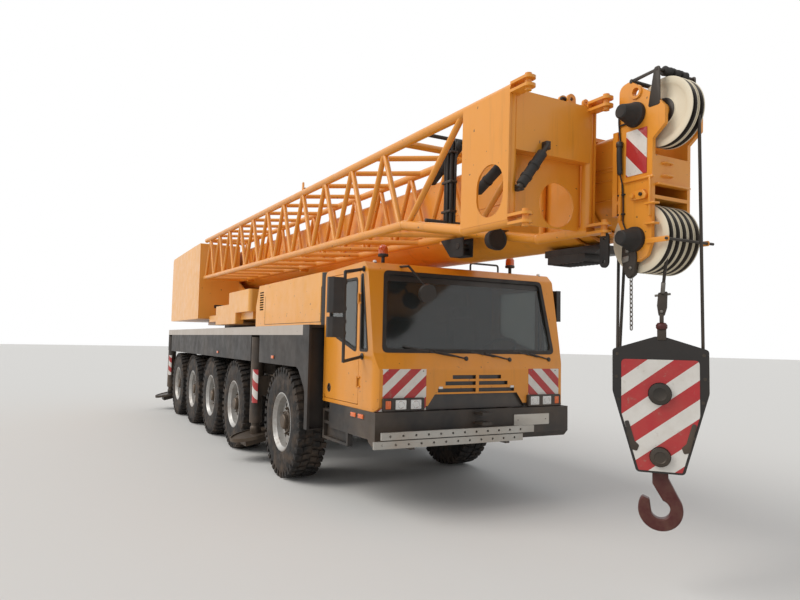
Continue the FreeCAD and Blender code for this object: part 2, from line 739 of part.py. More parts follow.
def front_bumper():
    """Black bumper below the cab, its brackets to the rails, the ladder's rests and the coupling."""
    y = (-BUMPER_HALF_W, BUMPER_HALF_W)
    low, high = BUMPER_Z
    rear, front = BUMPER_X
    points = [(rear, low + 40), (front - 60, low), (front, low + 60), (front, high), (rear, high)]
    bar = side_prism(points, y)
    recess_points = [
        (rear - 1, low + 75), (front - 25, low + 75), (front - 25, high + 1), (rear - 1, high + 1),
    ]
    bar = bar.cut(side_prism(recess_points, (y[0] + 25, y[1] - 25)))
    jaw_x = front + 95
    jaws = [box((front - 20, jaw_x + 45), (-60, 60), (z, z + JAW_T)) for z in JAW_Z]
    hole = rod(COUPLING_PIN_R, (jaw_x, 0, JAW_Z[0] - 10), (jaw_x, 0, JAW_Z[1] + JAW_T + 10))
    pieces = [join([bar] + jaws).cut(hole)]
    for side in (-1, 1):
        pieces.append(
            box(
                (FRAME_FRONT_X, front - 20),
                (side * (FRAME_HALF_W - RAIL_T), side * FRAME_HALF_W),
                (FRAME_BOTTOM_Z, FRAME_LOW_TOP_Z),
            )
        )
        steps = box(STEP_X, (side * STEP_Y[0], side * STEP_Y[1]), STEP_Z)
        tread_y = (side * (STEP_Y[0] + 12), side * (STEP_Y[1] + 1))
        for low_z, high_z in ((STEP_Z[0] + 30, STEP_Z[0] + 170), (STEP_Z[0] + 200, STEP_Z[1] - 25)):
            steps = steps.cut(box((STEP_X[0] + 40, STEP_X[1] - 40), tread_y, (low_z, high_z)))
        pieces.append(steps)
        pieces.append(
            box(
                (STEP_X[0] + 200, rear + 20),
                (side * (BUMPER_HALF_W - 25), side * BUMPER_HALF_W),
                (low + 60, high),
            )
        )
    rest_y = (LADDER_UPPER_Y[0] + 330, LADDER_LOWER_Y[1] - 200)
    top_z = LADDER_LOW_Z + LADDER_STILE_H * 2 + LADDER_GAP
    for y_rest in rest_y:
        across = (y_rest - 25, y_rest + 25)
        arm_z = (LADDER_LOW_Z - 20, LADDER_LOW_Z)
        arm = box((front - 30, LADDER_X + LADDER_T), across, arm_z)
        back = box((LADDER_X - 12, LADDER_X), across, (LADDER_LOW_Z, top_z))
        foot = box((front - 30, front + 12), across, (LADDER_LOW_Z - 20, LADDER_LOW_Z + 90))
        pieces.append(join([arm, back, foot]))
    return apart(pieces)


def ladder():
    """Sliding ladder stowed on edge across the front: two drilled stiles, one above the other."""
    solids = []
    for low, y in (
        (LADDER_LOW_Z, LADDER_LOWER_Y),
        (LADDER_LOW_Z + LADDER_STILE_H + LADDER_GAP, LADDER_UPPER_Y),
    ):
        x = (LADDER_X, LADDER_X + LADDER_T)
        stile = box(x, y, (low, low + LADDER_STILE_H))
        middle = low + LADDER_STILE_H / 2
        holes = []
        across = y[0] + 90
        while across < y[1] - 60:
            holes.append(rod(12, (x[0] - 1, across, middle), (x[1] + 1, across, middle)))
            across += 140
        solids.append(stile.cut(Part.makeCompound(holes)))
    return Part.makeCompound(solids)


def cab_side_outline(inset):
    """Side view of the driver's cab, moved inwards by the wall thickness given."""
    points = [
        (CAB_REAR_X + inset, CAB_BOTTOM_Z + inset), (CAB_NOSE_X - inset, CAB_BOTTOM_Z + inset),
        (CAB_NOSE_X - inset, BELT_Z - 160), (SCREEN_LOW_X - inset, BELT_Z),
        (SCREEN_TOP_X - inset, SCREEN_TOP_Z), (SCREEN_TOP_X - 90 - inset, CAB_ROOF_Z - inset),
        (CAB_REAR_X + inset, CAB_ROOF_Z - 30 - inset),
    ]
    radii = [20, 60, 60, 60, 50, 60, 70]
    return points, radii


def cab_solid(inset):
    """The cab's outer form, or its inner room when moved inwards."""
    points, radii = cab_side_outline(inset)
    half = CAB_HALF_W - inset
    side_form = side_prism(points, (-half, half), radii)
    corner = CAB_CORNER_R - inset / 2
    nose = CAB_NOSE_X + 20 - inset
    plan = [
        (CAB_REAR_X + inset - 1, -half), (nose, -half), (nose, half), (CAB_REAR_X + inset - 1, half)
    ]
    plan_form = top_prism(plan, (CAB_BOTTOM_Z - 10, CAB_ROOF_Z + 10), [0, corner, corner, 0])
    return side_form.common(plan_form)


def screen_cutter():
    """Prism of the windscreen opening, wider at the bottom."""
    return front_prism(
        [
            (-SCREEN_HALF_LOW, BELT_Z + 15), (SCREEN_HALF_LOW, BELT_Z + 15),
            (SCREEN_HALF_TOP, SCREEN_TOP_Z - 15), (-SCREEN_HALF_TOP, SCREEN_TOP_Z - 15),
        ],
        (SCREEN_TOP_X - 100, CAB_NOSE_X + 10),
        [50, 50, 50, 50],
    )


def quarter_cutter(side):
    """Prism of the small side window ahead of the door."""
    slope = (SCREEN_LOW_X - SCREEN_TOP_X) / (SCREEN_TOP_Z - BELT_Z)
    low = BELT_Z + 20
    high = SCREEN_TOP_Z - 50
    front_low = SCREEN_LOW_X - CAB_CORNER_R - 15
    points = [
        (DOOR_FRONT_X + 35, low), (front_low, low), (front_low - slope * (high - low), high),
        (DOOR_FRONT_X + 35, high),
    ]
    half = CAB_HALF_W
    return side_prism(points, (side * (half - CAB_WALL - 5), side * (half + 5)), [20, 20, 20, 20])


def door_outline(grow):
    """Outline of a cab door in X and Z, grown on all sides."""
    return [
        (DOOR_REAR_X - grow, DOOR_LOW_Z - grow), (DOOR_FRONT_X + grow, DOOR_LOW_Z - grow),
        (DOOR_FRONT_X + grow, DOOR_TOP_Z + grow), (DOOR_REAR_X - grow, DOOR_TOP_Z + grow),
    ]


def door_window(side, inner_y, outer_y):
    """Prism of a door's window; its lower edge slopes down to the front."""
    points = [
        (DOOR_REAR_X + 110, BELT_Z + 230), (DOOR_REAR_X + 330, BELT_Z + 150),
        (DOOR_FRONT_X - 65, BELT_Z + 10), (DOOR_FRONT_X - 65, DOOR_TOP_Z - 70),
        (DOOR_REAR_X + 110, DOOR_TOP_Z - 70),
    ]
    return side_prism(points, (side * inner_y, side * outer_y), [50, 80, 40, 40, 50])


def cab_shell():
    """Hollow cab with its windscreen, side, rear and door openings cut."""
    shell = cab_solid(0).cut(cab_solid(CAB_WALL))
    cutters = [screen_cutter()]
    for side in (-1, 1):
        cutters.append(quarter_cutter(side))
        opening = side_prism(
            door_outline(DOOR_GAP), (side * (CAB_HALF_W - CAB_WALL - 10), side * (CAB_HALF_W + 10))
        )
        cutters.append(opening)
    cutters.append(box((CAB_REAR_X - 5, CAB_REAR_X + CAB_WALL + 5), (-750, 750), (1950, 2350)))
    # grille row height, half width
    for z, half in ((1362, 308), (1298, 395), (1228, 485)):
        for side in (-1, 1):
            cutters.append(
                box((CAB_NOSE_X - 30, CAB_NOSE_X + 30), (side * 20, side * half), (z - 20, z + 20))
            )
    recess = front_prism(
        [(-640, CAB_BOTTOM_Z - 5), (640, CAB_BOTTOM_Z - 5), (520, 1190), (-520, 1190)],
        (CAB_NOSE_X - 35, CAB_NOSE_X + 30),
    )
    cutters.append(recess)
    body = shell.cut(Part.makeCompound(cutters))
    return join([body] + hinge_ears(-1) + hinge_ears(1))


def cab_glass():
    """Windscreen, side panes and rear pane, seated in the cab's openings."""
    slope = (SCREEN_LOW_X - SCREEN_TOP_X) / (SCREEN_TOP_Z - BELT_Z)
    low = BELT_Z - 50
    high = SCREEN_TOP_Z + 50
    front_low = SCREEN_LOW_X + 50 * slope - 20
    front_high = SCREEN_TOP_X - 50 * slope - 20
    strip = side_prism(
        [
            (front_low, low), (front_high, high),
            (front_high - GLASS_T, high), (front_low - GLASS_T, low),
        ],
        (-CAB_HALF_W, CAB_HALF_W),
    )
    panes = [strip.common(screen_cutter())]
    for side in (-1, 1):
        outer = side * (CAB_HALF_W - 15)
        slab = box((CAB_REAR_X, CAB_NOSE_X), (outer, outer - side * GLASS_T), (CAB_BOTTOM_Z, CAB_ROOF_Z))
        panes.append(slab.common(quarter_cutter(side)))
    panes.append(box((CAB_REAR_X + 20, CAB_REAR_X + 20 + GLASS_T), (-750, 750), (1950, 2350)))
    return Part.makeCompound([solid for pane in panes for solid in pane.Solids])


def cab_door(side):
    """Door panel with its frame, as thick as the cab's wall, and its hinge knuckles."""
    outer = CAB_HALF_W
    inner = CAB_HALF_W - CAB_WALL + DOOR_SEAL
    panel = side_prism(door_outline(0), (side * inner, side * outer), [60, 25, 25, 60])
    panel = panel.cut(door_window(side, inner - 1, outer + 1))
    recess_x = DOOR_REAR_X + 135
    recess = rod(42, (recess_x, side * (outer - 22), 1190), (recess_x, side * (outer + 1), 1190))
    panel = panel.cut(recess)
    pieces = [panel]
    hinge_x = DOOR_FRONT_X - 4
    hinge_y = side * (outer + DOOR_HINGE_OUT)
    bores = []
    for z in HINGE_Z:
        low = z - HINGE_H / 2
        high = z + HINGE_H / 2
        pieces.append(rod(HINGE_R, (hinge_x, hinge_y, low), (hinge_x, hinge_y, high)))
        leaf_y = (side * (outer - 5), side * (outer + 8))
        pieces.append(box((hinge_x - 36, hinge_x), leaf_y, (low, high)))
        bores.append(
            rod(HINGE_PIN_R + PIN_PLAY, (hinge_x, hinge_y, low - 1), (hinge_x, hinge_y, high + 1))
        )
    return join(pieces).cut(Part.makeCompound(bores))


def hinge_ears(side):
    """The cab's halves of a door's hinges: two ears and the pin for each knuckle of the door."""
    outer = CAB_HALF_W
    hinge_x = DOOR_FRONT_X - 4
    hinge_y = side * (outer + DOOR_HINGE_OUT)
    pieces = []
    for z in HINGE_Z:
        reach = HINGE_H / 2 + 16
        pin = rod(HINGE_PIN_R, (hinge_x, hinge_y, z - reach), (hinge_x, hinge_y, z + reach))
        pieces.append(pin)
        for level in (-1, 1):
            near = z + level * (HINGE_H / 2 + 0.3)
            far = z + level * reach
            pieces.append(rod(HINGE_R, (hinge_x, hinge_y, near), (hinge_x, hinge_y, far)))
            strap_y = (side * (outer + 2), side * (outer + 12))
            pieces.append(box((hinge_x, hinge_x + 50), strap_y, (near, far)))
            foot_y = (side * (outer - 3), side * (outer + 12))
            pieces.append(box((DOOR_FRONT_X + 12, hinge_x + 50), foot_y, (near, far)))
    return pieces


def door_glass(side):
    outer = CAB_HALF_W - 15
    return door_window(side, outer - GLASS_T, outer)


def seat_base(x, y, floor_z, height):
    return box((x - 190, x + 190), (y - 190, y + 190), (floor_z, floor_z + height))


def seat(x, y, z):
    """Upholstered seat: cushion and back, on a base that ends at the height given."""
    cushion = box((x - 250, x + 250), (y - 250, y + 250), (z, z + 130))
    back_points = [
        (x - 250, z + 120), (x - 130, z + 120), (x - 190, z + 760), (x - 290, z + 760)
    ]
    back = side_prism(back_points, (y - 230, y + 230), [0, 0, 30, 30])
    return join([cushion, back])


def seats():
    """The two seats of the driver's cab."""
    z = CAB_BOTTOM_Z + CAB_WALL + SEAT_H
    return Part.makeCompound([seat(CAB_REAR_X + SEAT_BACK, y, z) for y in SEAT_Y])


def cab_interior():
    """Dashboard, two seats, centre console and steering wheel."""
    floor_z = CAB_BOTTOM_Z + CAB_WALL
    front = CAB_NOSE_X - CAB_WALL
    half = CAB_HALF_W - CAB_WALL - 60
    dash_points = [
        (front - 330, floor_z), (front - 5, floor_z), (front - 5, BELT_Z - 190),
        (front - 60, BELT_Z - 40), (front - 330, BELT_Z - 90),
    ]
    pieces = [side_prism(dash_points, (-half, half))]
    pieces.append(box((CAB_REAR_X + 260, front - 320), (-110, 110), (floor_z, floor_z + 330)))
    for y in SEAT_Y:
        pieces.append(seat_base(CAB_REAR_X + SEAT_BACK, y, floor_z, SEAT_H))
    column_low = (front - 300, 600, BELT_Z - 130)
    column_high = (front - 420, 600, BELT_Z + 30)
    pieces.append(rod(30, column_low, column_high))
    wheel_axis = (V(*column_high) - V(*column_low)).normalize()
    pieces.append(Part.makeTorus(230, 16, V(*column_high), wheel_axis))
    across = rod(13, (front - 420, 370, BELT_Z + 30), (front - 420, 830, BELT_Z + 30))
    pieces.append(across)
    floor = box((CAB_REAR_X + CAB_WALL, front - 5), (-half, half), (floor_z, floor_z + 12))
    pieces.append(floor)
    return join(pieces).common(cab_solid(CAB_WALL))


def mirrors():
    """Two mirrors on a bracket ahead of the right door, and one folded back on the left side."""
    pieces = []
    pillar_x = DOOR_FRONT_X + 90
    y = -(CAB_HALF_W - 5)
    arm_y = -1430.0
    for z in (1570, 2455):
        pieces.append(rod(16, (pillar_x, y, z - 10), (pillar_x + 60, arm_y, z - 60)))
    pieces.append(rod(16, (pillar_x + 60, arm_y, 1500), (pillar_x + 60, arm_y, 2400)))
    # lower Z, upper Z, inner Y, outer Y
    for low, high, inner, outer in ((1985, 2335, 1425, 1600), (1745, 1945, 1425, 1600)):
        points = [
            (pillar_x + 5, -inner), (pillar_x + 85, -inner), (pillar_x + 85, -outer + 40),
            (pillar_x + 50, -outer), (pillar_x + 5, -outer),
        ]
        pieces.append(top_prism(points, (low, high), [10, 20, 20, 20, 15]))
    right = join(pieces).cut(cab_solid(0))
    folded = [
        rod(16, (DOOR_FRONT_X + 90, CAB_HALF_W - 5, 2380), (DOOR_FRONT_X + 140, CAB_HALF_W + 70, 2330)),
        box((DOOR_FRONT_X + 60, DOOR_FRONT_X + 220), (CAB_HALF_W + 45, CAB_HALF_W + 105), (1985, 2345)),
    ]
    left = join(folded).cut(cab_solid(0))
    arm_foot = (SCREEN_TOP_X - 110, -800, CAB_ROOF_Z - 30)
    screen_arm = rod(12, arm_foot, (SCREEN_TOP_X + 120, -800, 2480))
    drop = rod(12, (SCREEN_TOP_X + 120, -800, 2480), (SCREEN_TOP_X + 190, -640, 2280))
    dish = rod(95, (SCREEN_TOP_X + 175, -620, 2215), (SCREEN_TOP_X + 215, -620, 2205))
    front = join([screen_arm, drop, dish]).cut(cab_solid(0))
    return Part.makeCompound(right.Solids + left.Solids + front.Solids)


def lamps():
    """Headlamps in their boxes, side and rear lamps and the two beacons on the roof."""
    pieces = []
    nose = CAB_NOSE_X
    for side in (-1, 1):
        pieces.append(box((nose, nose + 30), (side * 690, side * 1110), (1045, 1150)))
        pieces.append(box((3600, 3700), (side * (BUMPER_HALF_W), side * (BUMPER_HALF_W + 14)), (950, 990)))
        rear = FRAME_REAR_X - 12
        pieces.append(box((rear - 40, rear), (side * 900, side * 1340), (1560, 1680)))
    for y in (-940, 720):
        base = CAB_ROOF_Z - 40
        pieces.append(
            join(
                [
                    rod(22, (3850, y, base), (3850, y, CAB_ROOF_Z + 80)),
                    rod(55, (3850, y, CAB_ROOF_Z + 80), (3850, y, CAB_ROOF_Z + 200)),
                ]
            )
        )
    seated = [piece.cut(cab_solid(0)) for piece in pieces]
    return Part.makeCompound([solid for piece in seated for solid in piece.Solids])


def engine_hood():
    """Hollow hood over the engine with a chamfered rear edge and rounded front corners."""
    def form(inset):
        side_points = [
            (HOOD_REAR_X + inset, DECK_Z), (HOOD_FRONT_X - inset, DECK_Z),
            (HOOD_FRONT_X - inset, HOOD_TOP_Z - inset),
            (HOOD_REAR_X + HOOD_CHAMFER + inset, HOOD_TOP_Z - inset),
            (HOOD_REAR_X + inset, HOOD_TOP_Z - HOOD_CHAMFER * 2 - inset),
        ]
        half = HOOD_HALF_W - inset
        side_form = side_prism(side_points, (-half, half))
        plan = [
            (HOOD_REAR_X - 5, -half), (HOOD_FRONT_X - inset, -half),
            (HOOD_FRONT_X - inset, half), (HOOD_REAR_X - 5, half),
        ]
        corner = 130 - inset
        return side_form.common(top_prism(plan, (DECK_Z - 1, HOOD_TOP_Z + 1), [0, corner, corner, 0]))

    hood = form(0).cut(form(HOOD_WALL))
    slots = []
    for n in range(8):
        z = 2140 + n * 36
        for side in (-1, 1):
            y = (side * (HOOD_HALF_W - HOOD_WALL - 2), side * (HOOD_HALF_W + 2))
            slots.append(box((HOOD_REAR_X + 190, HOOD_REAR_X + 380), y, (z, z + 20)))
    return hood.cut(Part.makeCompound(slots))


def engine_block():
    return box(ENGINE_X, (-ENGINE_HALF_W, ENGINE_HALF_W), ENGINE_Z)


def turntable():
    """Slewing platform with the two webs that hold the boom's foot pin and the lift cylinder."""
    base_z = PEDESTAL_TOP_Z + RING_GAP
    bearing = ring(
        PEDESTAL_R, PEDESTAL_BORE_R, (SLEW_X, 0, base_z), (SLEW_X, 0, base_z + TURNTABLE_RING_T)
    )
    plate_low = base_z + TURNTABLE_RING_T
    rear = TURNTABLE_REAR_X
    front = SLEW_X + 3400
    cab_rear, cab_front = CRANE_CAB_X
    wide = WEIGHT_X[1] + 390
    half = WEB_Y + WEB_T
    plan = [
        (rear, -half), (wide - 100, -half), (wide, -1150), (front, -1150), (front, -620),
        (cab_front + 30, -600), (cab_front + 30, 950), (cab_front - 170, 1330), (cab_rear, 1330),
        (wide, 1150), (wide - 100, half), (rear, half),
    ]
    plate = top_prism(plan, (plate_low, PLATFORM_TOP_Z))
    web_points = [
        (rear, PLATFORM_TOP_Z - 5), (SLEW_X + 1250, PLATFORM_TOP_Z - 5), (SLEW_X + 1250, 2330),
        (PIVOT_X + 600, PIVOT_Z + 140), (PIVOT_X + 350, PIVOT_Z + 240),
        (PIVOT_X - 350, PIVOT_Z + 240), (PIVOT_X - 500, PIVOT_Z + 140), (PIVOT_X - 830, 2930),
        (rear, 2930),
    ]
    web = side_prism(web_points, (WEB_Y, WEB_Y + WEB_T), [0, 0, 0, 120, 150, 150, 120, 60, 60])
    pieces = [bearing, plate] + both_sides(web)
    pin_half = WEB_Y + WEB_T - 2
    pieces.append(rod(PIVOT_R, (PIVOT_X, -pin_half, PIVOT_Z), (PIVOT_X, pin_half, PIVOT_Z)))
    for side in (-1, 1):
        lug_y = (side * (EYE_HALF_W + 5), side * (EYE_HALF_W + 55))
        lug_points = [
            (BARREL_X - 170, PLATFORM_TOP_Z - 5), (BARREL_X + 170, PLATFORM_TOP_Z - 5),
            (BARREL_X + 110, BARREL_Z + 100), (BARREL_X - 110, BARREL_Z + 100),
        ]
        pieces.append(side_prism(lug_points, lug_y, [0, 0, 80, 80]))
    pieces.append(rod(45, (BARREL_X, -EYE_HALF_W - 60, BARREL_Z), (BARREL_X, EYE_HALF_W + 60, BARREL_Z)))
    housing_x = (front - 1250, front + 70)
    housing = top_prism(
        [(housing_x[0], -1240), (housing_x[1], -1240), (housing_x[1], -620), (housing_x[0], -620)],
        (PLATFORM_TOP_Z - 5, 2500),
        [40, 60, 40, 40],
    )
    skirt_x = (SLEW_X + 1200, SLEW_X + 2650)
    skirting = top_prism(
        [(skirt_x[0], -1240), (skirt_x[1], -1240), (skirt_x[1], -1100), (skirt_x[0], -1100)],
        (PEDESTAL_TOP_Z - 25, PLATFORM_TOP_Z + 150),
        [20, 20, 0, 0],
    )
    pieces += [housing, skirting]
    return join(pieces)


def counterweight():
    """Ballast lobes on both sides of the webs, joined by the block behind the winches."""
    rear, front = WEIGHT_X
    low, high = WEIGHT_Z
    lobe_points = [
        (rear, low), (front, low), (front, high), (front - 700, high), (rear + 60, high - 25),
        (rear, high - 90),
    ]
    lobe = side_prism(lobe_points, (WEB_Y + WEB_T, WEIGHT_HALF_W), [40, 40, 25, 0, 40, 40])
    across = WEB_Y + WEB_T + 5
    block = box((rear, TURNTABLE_REAR_X - 50), (-across, across), (low, 3000))
    pieces = both_sides(lobe) + [block]
    tail = box((-LENGTH / 2, rear + 10), (-900, 900), (low + 195, low + 795))
    pieces.append(tail)
    return join(pieces)


def winches():
    """Hoist drum between the webs, with its flanges and shaft."""
    half = WEB_Y - 30
    pieces = [
        rod(WINCH_DRUM_R, (WINCH_X, -half, WINCH_Z), (WINCH_X, half, WINCH_Z)),
        rod(70, (WINCH_X, -WEB_Y, WINCH_Z), (WINCH_X, WEB_Y, WINCH_Z)),
    ]
    for side in (-1, 1):
        pieces.append(
            rod(
                WINCH_FLANGE_R,
                (WINCH_X, side * half, WINCH_Z),
                (WINCH_X, side * (half - 25), WINCH_Z),
            )
        )
    return join(pieces)


def crane_cab_solid(inset):
    rear, front = CRANE_CAB_X
    low, high = CRANE_CAB_Z
    points = [
        (rear + inset, low + inset), (front - inset, low + inset), (front - inset, low + 500),
        (front - 170 - inset, high - inset), (rear + inset, high - inset),
    ]
    inner, outer = CRANE_CAB_Y
    return side_prism(points, (inner + inset, outer - inset), [30, 60, 60, 90, 60])


def crane_cab_door_span():
    """X and Z of the sliding door, which covers its opening by 30 mm all round."""
    rear, front = CRANE_CAB_X
    low, high = CRANE_CAB_Z
    return (rear + 420, front - 300), (low + 70, high - 90)


def crane_cab_openings():
    """Cutters of the crane cab's windscreen, right pane and door opening."""
    rear, front = CRANE_CAB_X
    low, high = CRANE_CAB_Z
    inner, outer = CRANE_CAB_Y
    screen = box((front - 400, front + 10), (inner + 60, outer - 60), (low + 130, high - 90))
    pane_y = (inner - 5, inner + CRANE_CAB_WALL + 5)
    right = box((rear + 350, front - 330), pane_y, (low + 520, high - 110))
    door_x, door_z = crane_cab_door_span()
    door_y = (outer - CRANE_CAB_WALL - 5, outer + 5)
    door = box((door_x[0] + 30, door_x[1] - 30), door_y, (door_z[0] + 30, door_z[1] - 30))
    return screen, right, door


def crane_cab():
    """Operator's cab on the left of the superstructure, hollow, with its door's rails."""
    shell = crane_cab_solid(0).cut(crane_cab_solid(CRANE_CAB_WALL))
    shell = shell.cut(Part.makeCompound(crane_cab_openings()))
    inner, outer = CRANE_CAB_Y
    rear = CRANE_CAB_X[0]
    low = CRANE_CAB_Z[0]
    seat_y = (inner + outer) / 2
    floor_z = low + CRANE_CAB_WALL - 5
    pieces = [shell, seat_base(rear + 560, seat_y, floor_z, SEAT_H)]
    pieces.append(seat(rear + 560, seat_y, floor_z + SEAT_H))
    door_x, door_z = crane_cab_door_span()
    rail_x = (rear + 10, door_x[1] + 10)
    rail_y = (outer - 5, outer + SLIDE_DOOR_GAP + SLIDE_DOOR_T)
    pieces.append(box(rail_x, rail_y, (door_z[0] - 25, door_z[0] - FACE_PLAY)))
    pieces.append(box(rail_x, rail_y, (door_z[1] + SLIDE_DOOR_GAP, door_z[1] + 30)))
    return join(pieces)


def crane_cab_glass():
    screen, right, _ = crane_cab_openings()
    skin = crane_cab_solid(12).cut(crane_cab_solid(12 + GLASS_T))
    panes = skin.common(screen).Solids + skin.common(right).Solids
    return Part.makeCompound(panes)


def crane_cab_door():
    """Sliding door of the crane cab, outside its wall: a frame round its pane."""
    x, z = crane_cab_door_span()
    near = CRANE_CAB_Y[1] + SLIDE_DOOR_GAP
    y = (near, near + SLIDE_DOOR_T)
    frame = side_prism([(x[0], z[0]), (x[1], z[0]), (x[1], z[1]), (x[0], z[1])], y, [20] * 4)
    window = [
        (x[0] + 60, z[0] + 410), (x[1] - 60, z[0] + 410), (x[1] - 60, z[1] - 60),
        (x[0] + 60, z[1] - 60),
    ]
    frame = frame.cut(side_prism(window, (y[0] - 1, y[1] + 1), [40] * 4))
    pane = side_prism(window, (near + 10, near + 10 + GLASS_T), [40] * 4)
    return join([frame, pane])


def boom_outline(section, inset):
    """Cross-section of a boom section in Y and Z: flat top, upright sides, rounded belly."""
    half_w = BOOM_HALF_W - section * (BOOM_WALL + SECTION_PLAY) - inset
    top = BOOM_AXIS_Z + BOOM_HALF_H - section * (BOOM_WALL + SECTION_PLAY) - inset
    low = BOOM_AXIS_Z - BOOM_HALF_H + section * (BOOM_WALL + SECTION_PLAY) + inset
    belly = BOOM_BELLY_R - section * (BOOM_WALL + SECTION_PLAY) - inset
    points = [(-half_w, low), (half_w, low), (half_w, top), (-half_w, top)]
    crown = max(40 - inset, 12)
    return points, [belly, belly, crown, crown]


def boom_tube(section, x):
    """Hollow length of one boom section."""
    outer_points, outer_radii = boom_outline(section, 0)
    inner_points, inner_radii = boom_outline(section, BOOM_WALL)
    outer = front_prism(outer_points, x, outer_radii)
    inner = front_prism(inner_points, (x[0] - 1, x[1] + 1), inner_radii)
    return outer.cut(inner)


def slide_pads(section, x, carried):
    """Wear pads round a section, on it when it carries them and else in the section outside it."""
    half_w = BOOM_HALF_W - section * (BOOM_WALL + SECTION_PLAY)
    top = BOOM_AXIS_Z + BOOM_HALF_H - section * (BOOM_WALL + SECTION_PLAY)
    low = BOOM_AXIS_Z - BOOM_HALF_H + section * (BOOM_WALL + SECTION_PLAY)
    near = -2.0 if carried else PAD_PLAY
    far = SECTION_PLAY - PAD_PLAY if carried else SECTION_PLAY + 2.0
    far_points, far_radii = boom_outline(section, -far)
    near_points, near_radii = boom_outline(section, -near)
    round_form = front_prism(far_points, x, far_radii)
    round_form = round_form.cut(front_prism(near_points, (x[0] - 1, x[1] + 1), near_radii))
    pads = []
    for side in (-1, 1):
        side_y = (side * (half_w + near), side * (half_w + far))
        pads.append(box(x, side_y, (BOOM_AXIS_Z, top - 80)))
        belly = box(x, (side * 60, side * 150), (low - far - 1, low + 80))
        pads += round_form.common(belly).Solids
        pads.append(box(x, (side * 150, side * 280), (top + near, top + far)))
    return pads


def front_pads(section, front):
    """Pads inside a section's front end, which carry the next section."""
    return slide_pads(section + 1, (front - 420, front - 150), False)


def boom_base():
    """Outer boom section with its foot, the lift cylinder's lugs and the collar at its front."""
    tube = boom_tube(0, (PIVOT_X + 300, BASE_FRONT_X))
    top = BOOM_AXIS_Z + BOOM_HALF_H
    low = BOOM_AXIS_Z - BOOM_HALF_H
    foot_front = SECTION_REAR_X - 60
    foot_points = [
        (PIVOT_X - 260, PIVOT_Z - 130), (PIVOT_X - 130, PIVOT_Z - 260), (foot_front - 160, low),
        (foot_front, low), (foot_front, top), (foot_front - 140, top),
        (PIVOT_X - 260, PIVOT_Z + 240),
    ]
    foot = side_prism(foot_points, (BOOM_HALF_W - 30, BOOM_HALF_W), [60, 60, 0, 0, 0, 60, 80])
    boss = rod(150, (PIVOT_X, BOOM_HALF_W - 60, PIVOT_Z), (PIVOT_X, WEB_Y - 5, PIVOT_Z))
    pieces = [tube] + both_sides(foot) + both_sides(boss)
    sill_y = (-BOOM_HALF_W + 10, BOOM_HALF_W - 10)
    sill = box((PIVOT_X - 100, PIVOT_X + 320), sill_y, (PIVOT_Z + 215, PIVOT_Z + 245))
    pieces.append(sill)
    collar_outer, collar_radii = boom_outline(0, -BASE_COLLAR_T)
    collar = front_prism(collar_outer, (BASE_FRONT_X - 180, BASE_FRONT_X), collar_radii)
    inner_points, inner_radii = boom_outline(0, BOOM_WALL)
    bore = front_prism(inner_points, (BASE_FRONT_X - 200, BASE_FRONT_X + 1), inner_radii)
    pieces.append(collar.cut(bore))
    pieces += front_pads(0, BASE_FRONT_X)
    body = join(pieces)
    pin_hole = rod(
        PIVOT_R + PIN_PLAY, (PIVOT_X, -WEB_Y - 1, PIVOT_Z), (PIVOT_X, WEB_Y + 1, PIVOT_Z)
    )
    body = body.cut(pin_hole)
    eye = level_point(ROD_EYE_X, ROD_EYE_Z)
    inside = front_prism(inner_points, (eye[0] - 300, eye[0] + 300), inner_radii)
    for side in (-1, 1):
        lug_y = (side * (EYE_HALF_W + 6), side * (EYE_HALF_W + 50))
        lug_points = [
            (eye[0] - 260, low + 60), (eye[0] - 110, eye[1] - 80), (eye[0] + 110, eye[1] - 80),
            (eye[0] + 260, low + 60),
        ]
        lug = side_prism(lug_points, lug_y, [0, 70, 70, 0]).cut(inside)
        body = body.fuse(lug.cut(rod(45, (eye[0], side * 10, eye[1]), (eye[0], side * 200, eye[1]))))
    hangers = []
    chord_side = JIB_Y[1] + CHORD_R
    chord_under = JIB_LOW_Z - CHORD_R
    for x in HANGER_X:
        plate_z = (chord_under - 25, JIB_LOW_Z + 320)
        hangers.append(box((x, x + 60), (-BOOM_HALF_W + 5, chord_side), plate_z))
        lip_z = (chord_under - 25, chord_under)
        hangers.append(box((x, x + 60), (chord_side, JIB_Y[1] - CHORD_R), lip_z))
    for hanger in hangers:
        body = body.fuse(hanger)
    return body.removeSplitter()


def level_point(x, z):
    """Where a point of the resting boom lies on the level drawing."""
    angle = math.radians(BOOM_DROOP)
    dx = x - PIVOT_X
    dz = z - PIVOT_Z
    return (
        PIVOT_X + dx * math.cos(angle) - dz * math.sin(angle),
        PIVOT_Z + dx * math.sin(angle) + dz * math.cos(angle),
    )


def boom_section(section):
    """Inner boom section with its wear pads and a collar at its front end."""
    front = BASE_FRONT_X + section * SECTION_STEP
    rear = SECTION_REAR_X + section * 100
    pieces = [boom_tube(section, (rear, front))]
    pieces += slide_pads(section, (rear + 10, rear + 310), True)
    pieces += front_pads(section, front)
    outer_points, outer_radii = boom_outline(section, -18)
    inner_points, inner_radii = boom_outline(section, BOOM_WALL)
    collar_x = (front - SECTION_STEP + 25, front)
    collar = front_prism(outer_points, collar_x, outer_radii)
    bore = front_prism(inner_points, (collar_x[0] - 1, front + 1), inner_radii)
    pieces.append(collar.cut(bore))
    return join(pieces)


def top_sheave_x():
    """Level X of the upper sheaves, set so that they touch the front limit of the length."""
    angle = math.radians(BOOM_DROOP)
    above = TOP_SHEAVE_Z - PIVOT_Z
    reach = LENGTH / 2 - TOP_SHEAVE_R - PIVOT_X - above * math.sin(angle)
    return PIVOT_X + reach / math.cos(angle)


def low_sheave_x():
    return top_sheave_x() - LOW_SHEAVE_BACK


